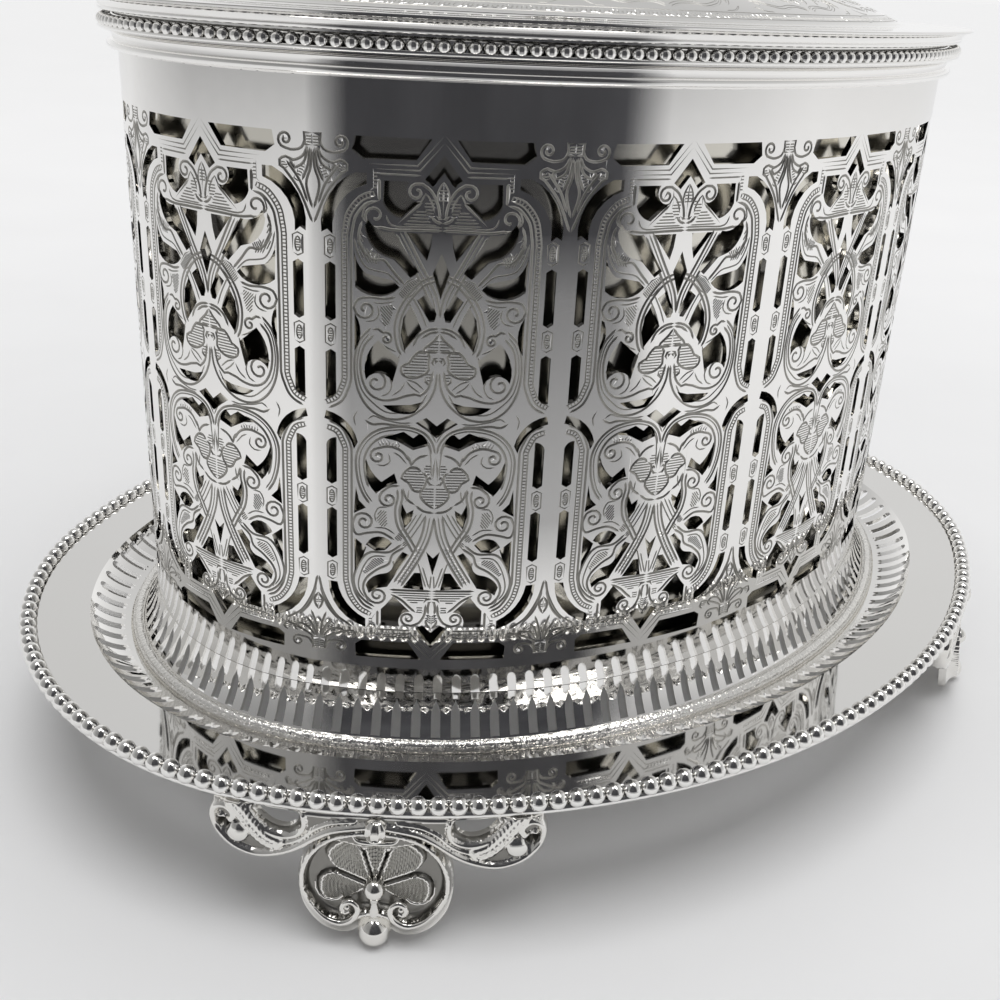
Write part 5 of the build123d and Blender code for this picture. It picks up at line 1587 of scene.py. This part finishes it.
def shell_height(flat):
    to_edge = far_from(flat, shell_outline, True)
    to_ridge = far_from(flat, shell_ridge, True)
    within = inside(flat, shell_ridge)
    share = to_edge / np.maximum(to_edge + to_ridge, 1e-6)
    flank = -0.9 + 1.9 * share ** 1.7
    wall = np.clip(to_ridge / 1.1, 0, 1)
    floor = 1.0 - 1.5 * wall * wall * (3 - 2 * wall)
    lobes, member, reach, arc = fan_height(flat)
    height = np.where(within, np.maximum(floor, -0.5 + lobes * np.clip(to_ridge / 0.8 - 0.4, 0, 1)), flank)
    bar = 1.0 + 0.3 * np.sqrt(np.clip(1 - (to_ridge / 0.42) ** 2, 0, 1))
    height = np.maximum(height, np.where(to_ridge < 0.42, bar, -9))
    return height, member * within * (to_ridge > 1.0), reach, arc


def add_shell(work):
    """The shell's relief, its two rim curls, the balls and the bud."""
    flat, faces = relief_sheet(shell_outline, [], [np.vstack([shell_ridge, shell_ridge[:1]])], 0.24)
    height, member, reach, arc = shell_height(flat)
    # The low floor between the ridge and the lobes takes the dark hollow finish, which is painted shade.
    sunk = inside(flat, shell_ridge) & (height < 0.45) & (member == 0)
    # Faces on the lobes take the darker fan finish, which is painted shade.
    finish = np.where(member[faces].min(1) > 0.5, 1, np.where(sunk[faces].all(1), 2, 0))
    thick_sheet(work, faces, on_shell(flat, height), on_shell(flat, np.full(len(flat), -2.4)), finish,
        np.column_stack([reach / 0.62, arc / 0.46]))
    for side in (-1, 1):
        rim = flow((9.6, -5.0), (7.7, -6.9), (5.4, -7.75), (3.5, -7.1), (2.55, -5.8), (2.7, -4.6),
            (3.6, -3.9), (4.6, -4.3), (4.95, -5.2), (4.5, -5.9), (3.8, -5.6), step=0.25)
        share = np.linspace(0, 1, len(rim))
        lift = 0.95 + 0.25 * np.sin(share * math.pi)
        places = on_shell(rim * (side, 1), lift)
        tapered_wire(work, places, 0.30 + 0.34 * np.sin(np.clip(share * 1.6, 0,
            1) * math.pi / 2) - 0.22 * share)
        lobe_rim = curl((6.4 * side, -1.9), 2.9, 90 - 75 * side, 0.42 * -side, 2.2)
        tapered_wire(work, on_shell(lobe_rim, np.full(len(lobe_rim), 0.25)),
            np.linspace(0.12, 0.34, len(lobe_rim)), 8)
        eye = on_shell(np.array([(4.15 * side, -5.05)]), np.array([0.8]))[0]
        turned(work, ball_profile(0.55, 10), eye, 16)
    bar = flow((3.5, 7.5), (2.7, 6.55), (0, 6.35), (-2.7, 6.55), (-3.5, 7.5), step=0.3)
    tapered_wire(work, on_shell(bar, np.full(len(bar), 0.75)),
        0.25 + 0.2 * np.sin(np.linspace(0, math.pi, len(bar))))
    small = on_shell(np.array([(0.0, -1.4)]), np.array([1.1]))[0]
    turned(work, ball_profile(1.72), small, 32)
    big = np.array([0.0, 2.5, -1.2])
    turned(work, ball_profile(2.6), big, 40, floor=0.0)
    neck = np.array([small + (big - small) * s for s in np.linspace(0.15, 0.8, 9)])
    tapered_wire(work, neck, (1.15, 1.0, 0.8, 0.72, 0.9, 1.05, 0.85, 0.9, 1.3), 20)
    bud = np.array([0.0, 21.2, -2.1])
    turned(work, [(0.4, -1.9), (1.1, -1.7), (1.65, -1.1), (1.95, -0.2), (1.85, 0.7), (1.35, 1.45),
        (0.8, 1.8)], bud, 60, flutes=10, depth=0.10)
    turned(work, [(1.2, -0.35), (1.5, -0.2), (1.54, 0.1), (1.25, 0.3)], bud + (0, -1.25, 0.1), 32)


# %% The wings of a foot
WING_BAND = 115.0           # the wings follow the bead wire's curve at this radius
WING_FACE = -2.3
wing_outline = even_loop([(0, 23.2), (8.5, 23.2), (17, 23.2), (24.6, 23.2), (25.8, 22.3), (26.4, 20.4),
    (25.7, 17.8), (24, 15.4), (21.5, 13.9), (18.5, 13.35), (15.4, 13.95), (12.8, 15.2), (10.6, 16.9),
    (8.4, 18.6), (5.5, 17.6), (0, 17.2)], 0.3)
wing_gap = even_loop([(19, 22.5), (17.7, 20.4), (15.9, 19.25), (13.8, 19.2), (12.3, 20.4), (11.9, 22),
    (12.6, 22.5), (15.6, 22.6)], 0.3)


def wing_height(flat):
    """A soft edge all round, then straps, the scroll with its eye, the leaf's scales and its bulb."""
    to_edge = np.minimum(far_from(flat, wing_outline, True), far_from(flat, wing_gap, True))
    soft = np.clip(to_edge / 0.9, 0, 1)
    height = -0.9 + 0.9 * np.sqrt(1 - (1 - soft) ** 2)
    strap = flow((1.5, 21.6), (6.0, 20.6), (8.6, 19.2), (10.9, 17.4), (13.1, 15.9), (15.6, 14.8),
        (18.5, 14.2), (21.3, 14.75), (23.5, 16.1), (25.0, 18.2), (25.5, 20.3), (24.9, 21.8), (23.4, 22.3),
        (22.2, 21.3), (22.3, 20.0), (23.4, 19.4), (24.2, 20.0))
    hook = flow((11.1, 22.4), (11.0, 20.4), (11.9, 18.9), (13.8, 18.1), (15.9, 18.3), (17.6, 19.0))
    inner = flow((3.3, 22.2), (6.7, 21.6), (9.2, 20.2), (11.0, 18.4), (13.0, 17.1), (15.2, 16.4))
    for line, half, tall in ((strap, 0.62, 0.95), (hook, 0.5, 0.65), (inner, 0.38, 0.5)):
        near = far_from(flat, line) / half
        height = np.maximum(height, np.where(near < 1, tall * np.sqrt(np.clip(1 - near ** 2, 0, 1)) - 0.1,
            -9))
    spine = flow((22.0, 23.0), (20.4, 21.0), (18.9, 19.0), (17.3, 17.4), (15.6, 16.6), step=0.2)
    near = far_from(flat, spine)
    along = np.linalg.norm(flat[:, None] - spine[None], axis=2).argmin(1) * 0.2
    scales = 0.75 + 0.16 * np.abs(np.sin((along + 0.5 * near) * math.pi / 0.85))
    scales = scales + 0.10 * np.cos(near * 2 * math.pi / 0.8)
    leaf = np.where(near < 1.6, scales * np.sqrt(np.clip(1 - (near / 1.6) ** 2, 0, 1)), -9)
    height = np.maximum(height, leaf)
    bulb = np.linalg.norm(flat - (21.6, 17.5), axis=1) / 1.9
    height = np.maximum(height, np.where(bulb < 1, 1.15 * np.sqrt(np.clip(1 - bulb ** 2, 0, 1)), -9))
    eye = np.linalg.norm(flat - (23.9, 18.9), axis=1)
    return height - 2.1 * np.exp(-(eye / 0.85) ** 2)


def on_band(flat, height):
    """From the wings' flat drawing to the foot's frame, bent to the bead wire's curve."""
    angle = flat[:, 0] / WING_BAND
    reach = WING_BAND + height
    return np.column_stack([reach * np.sin(angle), flat[:, 1], WING_FACE - WING_BAND + reach * np.cos(angle)])


def add_wings(work):
    flat, faces = relief_sheet(wing_outline, [wing_gap], [], 0.26)
    height = wing_height(flat)
    front = on_band(flat, height)
    back = on_band(flat, np.full(len(flat), -1.9))
    # The low ground between the straps takes the dark hollow finish, which is painted shade.
    sunk = (height < 0.16) & (far_from(flat, wing_outline, True) > 0.7)
    finish = np.where(sunk[faces].all(1), 2, 0)
    thick_sheet(work, faces, front, back, finish, flat)
    thick_sheet(work, faces[:, ::-1], front * (-1, 1, 1), back * (-1, 1, 1), finish, flat)
    pad = bmesh.ops.create_cube(work, size=1.0)["verts"]
    for vert in pad:
        vert.co = Vector((vert.co.x * 12.0, 19.4 + vert.co.y * 7.4, -4.6 + vert.co.z * 3.4))
    bmesh.ops.bevel(work, geom=list({edge for vert in pad for edge in vert.link_edges}), offset=0.7,
        segments=3, affect="EDGES")


# %% Four feet
shoulder_x, shoulder_y = ARCS[1][:2]
foot_turn = math.atan2(FOOT_PLACE[1] - shoulder_y, FOOT_PLACE[0] - shoulder_x)
one_foot = bmesh.new()
one_foot.loops.layers.uv.new("fan")
add_shell(one_foot)
add_wings(one_foot)
foot_frame = np.array([(-math.sin(foot_turn), math.cos(foot_turn), 0), (0, 0, 1),
    (math.cos(foot_turn), math.sin(foot_turn), 0)])
feet = {}
for name, flip in (("front_right", (1, 1)), ("front_left", (-1, 1)), ("back_right", (1, -1)),
        ("back_left", (-1, -1))):
    work = one_foot.copy()
    for vert in work.verts:
        x, y, z = np.array(vert.co) @ foot_frame
        vert.co = ((x + FOOT_PLACE[0]) * flip[0] * MM, (y + FOOT_PLACE[1]) * flip[1] * MM, z * MM)
    if flip[0] * flip[1] * np.linalg.det(foot_frame) < 0:
        bmesh.ops.reverse_faces(work, faces=work.faces)
    feet[name] = smooth_object("cast_foot_" + name, work, [POLISHED_CAST, FAN_PAINTED_SHADE, HOLLOW_PAINTED_SHADE], 50)
print("one foot has", len(one_foot.faces), "faces")
one_foot.free()
for name, foot in feet.items():
    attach(foot, "box")
    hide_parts("foot_" + name)

# %% Everything rides on its body
for piece, nodes, slot_name in (
        (tray, ["tray_plate"], "silver_sheet"), (skirt, ["base_skirt"], "silver_sheet"),
        (ring, ["base_ring"], "silver_cast"), (collar, ["collar_moulding"], "silver_sheet"),
        (rim, ["collar_rim"], "silver_sheet"), (liner, ["liner"], "liner_silver"),
        (liner_edge, ["liner_rim"], "liner_silver"), (floor_sheet, ["floor_plate"], "silver_sheet"),
        (tray_beads, ["tray_bead_rim"], "silver_beads"), (collar_beads, ["collar_bead_row"], "silver_beads"),
        *((part, ["pierced_wall"], "silver_sheet") for part in walls)):
    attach(piece, "box")
    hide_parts(*nodes)
for piece, nodes, slot_name in (
        (lid_moulding, ["lid_rim"], "lid_silver"), (bezel, ["lid_bezel"], "lid_silver"),
        (cover, ["lid_cover"], "lid_silver"), (lid_band, ["lid_cover"], "lid_silver"),
        (rosette, ["finial_base"], "silver_cast"), (knob, ["finial"], "silver_cast")):
    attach(piece, "lid")
    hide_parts(*nodes)
for name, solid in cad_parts.items():
    finish = CAST if name.startswith("foot") or name.startswith("finial") else MIRROR
    finish = STEEL if name in ("hinge_pin", "finial_stud") else finish
    finish = BRASS if name in ("finial_nut", "finial_washer") else finish
    for slot in solid.material_slots:
        slot.material = finish

# %% [markdown]
# ## Floor, light and camera
# Silver shows its surroundings, so the studio is half of the finish. The table is matt and pale,
# the room is brighter on one side than on the other, one large soft lamp hangs overhead, and a
# dark cloth stands where the photographer would: it gives the mirror its dark bands. The cloth
# also lies flat on the table in front, seen only in the silver: a painted shadow on the floor.
# In the silver, the far floor glows brighter towards the bright side: painted light.


# %% Floor
def stage_material(name, dark, pale, scale):
    material = bpy.data.materials.new(name)
    material.use_nodes = True
    tree = material.node_tree
    shader = tree.nodes["Principled BSDF"]
    shader.inputs["Roughness"].default_value = 0.9
    place = node(tree, "ShaderNodeTexCoord", (-800, 0))
    clouds = node(tree, "ShaderNodeTexNoise", (-600, 0), {"Scale": scale, "Detail": 6.0})
    tint = node(tree, "ShaderNodeMix", (-300, 0), {"A": (*dark, 1), "B": (*pale, 1)}, data_type="RGBA")
    connect(tree, (place, "Object", clouds, "Vector"), (clouds, "Fac", tint, "Factor"),
        (tint, "Result", shader, "Base Color"))
    return material


def stage_piece(name, corners, faces, material):
    mesh = bpy.data.meshes.new(name)
    mesh.from_pydata(corners, [], faces)
    mesh.materials.append(material)
    made = linked(name, mesh)
    return made


BRIGHT_SIDE = Vector((0.80, 0.55, 0.0)).normalized()
LIT_RADIUS = 0.16           # how far from the middle the lamp lights the table well
LIT_FALL = 0.75
FAR_GLOW = 0.49


def lift_far_floor(material):
    """The far floor, which no lamp reaches, shows as pale as the near floor, and lights nothing. In the
    silver's reflections it glows more towards the room's bright side, as painted light.
    """
    tree = material.node_tree
    shader = tree.nodes["Principled BSDF"]
    place = node(tree, "ShaderNodeTexCoord", (-1400, 500))
    away = node(tree, "ShaderNodeVectorMath", (-1200, 500), operation="LENGTH")
    beyond = node(tree, "ShaderNodeMapRange", (-1000, 500),
        {"From Min": LIT_RADIUS, "From Max": LIT_RADIUS + 10 * LIT_FALL, "To Max": -10.0})
    fall = node(tree, "ShaderNodeMath", (-800, 500), operation="EXPONENT")
    glow = node(tree, "ShaderNodeMath", (-600, 500), {1: -FAR_GLOW, 2: FAR_GLOW}, operation="MULTIPLY_ADD")
    rays = node(tree, "ShaderNodeLightPath", (-1200, 200))
    unit = node(tree, "ShaderNodeVectorMath", (-1200, 0), operation="NORMALIZE")
    toward = node(tree, "ShaderNodeVectorMath", (-1000, 0), {1: BRIGHT_SIDE}, operation="DOT_PRODUCT")
    side = node(tree, "ShaderNodeMapRange", (-800, 0), {"From Min": -0.5, "From Max": 0.3, "To Max": 0.8})
    # Seen in the silver, the far floor glows brighter towards the room's bright side and stays dim on the
    # other: painted light.
    floor_glow_in_reflections = node(tree, "ShaderNodeMath", (-600, 0), operation="MULTIPLY")
    seen = node(tree, "ShaderNodeMath", (-800, 200), operation="MAXIMUM")
    through = node(tree, "ShaderNodeMath", (-600, 200), operation="MAXIMUM")
    shown = node(tree, "ShaderNodeMath", (-400, 400), operation="MULTIPLY")
    connect(tree, (place, "Object", unit, 0), (unit, "Vector", toward, 0),
        (toward, "Value", side, "Value"), (side, "Result", floor_glow_in_reflections, 0),
        (rays, "Is Glossy Ray", floor_glow_in_reflections, 1), (place, "Object", away, 0),
        (away, "Value", beyond, "Value"), (beyond, "Result", fall, 0), (fall, "Value", glow, 0),
        (rays, "Is Camera Ray", seen, 0), (floor_glow_in_reflections, "Value", seen, 1),
        (seen, "Value", through, 0), (rays, "Is Transmission Ray", through, 1),
        (glow, "Value", shown, 0), (through, "Value", shown, 1),
        (shown, "Value", shader, "Emission Strength"))
    shader.inputs["Emission Color"].default_value = (1, 1, 1, 1)
    return material


TABLE_HALF = 60.0
table_finish = lift_far_floor(stage_material("pale_table", (0.78, 0.78, 0.785), (0.86, 0.86, 0.865), 9.0))
table_corners = [(x * TABLE_HALF, y * TABLE_HALF, 0) for x, y in ((-1, -1), (1, -1), (1, 1), (-1, 1))]
stage_piece("table_top", table_corners, [(0, 1, 2, 3)], table_finish)
print("table:", 2 * TABLE_HALF, "m wide")

# %% The dark cloth and the painted shadow it lays on the table
CLOTH_FROM, CLOTH_TO = math.radians(-154), math.radians(-77)
FADE = math.radians(9)
# each row: distance from the middle, height, and how much of the room behind is hidden there;
# the four rows flat on the table are a painted shadow on the floor, seen only in the silver
cloth_and_shadow_profile = [(0.125, 0.004, 0.0), (0.17, 0.004, 0.55), (0.30, 0.004, 0.72), (0.40, 0.004, 0.80),
    (0.415, 0.03, 1.0), (0.41, 0.45, 1.0), (0.36, 0.70, 1.0), (0.24, 0.90, 1.0), (0.10, 1.00, 0.7)]
CLOTH_STEPS = 40
row_length = CLOTH_STEPS + 1
angles = np.linspace(CLOTH_FROM, CLOTH_TO, row_length)
corners = [(r * math.cos(a), r * math.sin(a), z) for r, z, _ in cloth_and_shadow_profile for a in angles]
faces = [(first, first + 1, first + row_length + 1, first + row_length)
    for i in range(len(cloth_and_shadow_profile) - 1) for first in range(i * row_length, i * row_length + CLOTH_STEPS)]
cloth_finish = stage_material("dark_cloth", (0.005, 0.005, 0.007), (0.10, 0.10, 0.11), 7.0)
weave = cloth_finish.node_tree
share = node(weave, "ShaderNodeAttribute", (-300, 300), attribute_name="hides")
clear = node(weave, "ShaderNodeBsdfTransparent", (0, 200))
blend = node(weave, "ShaderNodeMixShader", (300, 200))
connect(weave, (share, "Fac", blend, "Fac"), (clear, "BSDF", blend, 1),
    (weave.nodes["Principled BSDF"], "BSDF", blend, 2),
    (blend, "Shader", weave.nodes["Material Output"], "Surface"))
cloth = stage_piece("dark_cloth", corners, faces, cloth_finish)
edge_fade = np.clip(np.minimum(angles - CLOTH_FROM, CLOTH_TO - angles) / FADE, 0, 1)
hides = cloth.data.attributes.new("hides", "FLOAT", "POINT")
hides.data.foreach_set("value", [share * fade for _, _, share in cloth_and_shadow_profile for fade in edge_fade])
for kind in ("camera", "shadow", "diffuse", "transmission"):
    setattr(cloth, "visible_" + kind, False)
print("cloth faces:", len(faces))

# %% World and lamps
world = bpy.data.worlds.new("studio")
bpy.context.scene.world = world
world.use_nodes = True
room = world.node_tree
background = room.nodes["Background"]
direction = node(room, "ShaderNodeTexCoord", (-1000, 0))
toward = node(room, "ShaderNodeVectorMath", (-800, 0), {1: BRIGHT_SIDE}, operation="DOT_PRODUCT")
level = node(room, "ShaderNodeMapRange", (-600, 0), {"From Min": -0.9, "From Max": 0.7, "To Min": 0.34,
    "To Max": 0.90})
height = node(room, "ShaderNodeSeparateXYZ", (-800, -250))
ceiling = node(room, "ShaderNodeMapRange", (-600, -250), {"From Min": 0.05, "From Max": 0.65, "To Min": 1.0,
    "To Max": 0.62})
both = node(room, "ShaderNodeMath", (-400, -100), operation="MULTIPLY")
connect(room, (direction, "Generated", toward, 0), (direction, "Generated", height, "Vector"),
    (toward, "Value", level, "Value"), (height, "Z", ceiling, "Value"), (level, "Result", both, 0),
    (ceiling, "Result", both, 1), (both, "Value", background, "Strength"))
background.inputs["Color"].default_value = (1, 1, 1, 1)


def soft_light(name, place, aim, size, power):
    data = bpy.data.lights.new(name, "AREA")
    data.shape = "RECTANGLE"
    data.size, data.size_y = size
    data.energy = power
    lamp = linked(name, data)
    lamp.location = place
    lamp.rotation_euler = (Vector(aim) - Vector(place)).to_track_quat("-Z", "Y").to_euler()


OVERHEAD_POWER = 10.8
soft_light("overhead", (0.0, -0.15, 1.25), (0, 0, 0.05), (1.0, 1.0), OVERHEAD_POWER)
print("overhead lamp:", OVERHEAD_POWER, "W")

# %% Camera
CAMERA_PLACE = Vector((-135.43, -178.80, 140.52)) * MM
CAMERA_RIGHT = Vector((0.83283895, -0.55154179, 0.04670056))
CAMERA_UP = Vector((0.17245359, 0.338726, 0.92494565))
CAMERA_FORWARD = Vector((0.52596487, 0.76227708, -0.37721957))
camera_data = bpy.data.cameras.new("camera")
camera_data.sensor_width = 36.0
camera_data.lens = 40.365
camera_data.shift_x = 0.00694
camera_data.shift_y = -0.0666
camera_data.clip_start = 0.01
camera = linked("camera", camera_data)
turn = Matrix((CAMERA_RIGHT, CAMERA_UP, -CAMERA_FORWARD)).transposed()
camera.matrix_world = Matrix.Translation(CAMERA_PLACE) @ turn.to_4x4()
bpy.context.scene.camera = camera
bpy.context.scene.view_settings.view_transform = "Standard"

# %% The end: the path curves are removed
for path in PATHS.values():
    bpy.data.objects.remove(path)
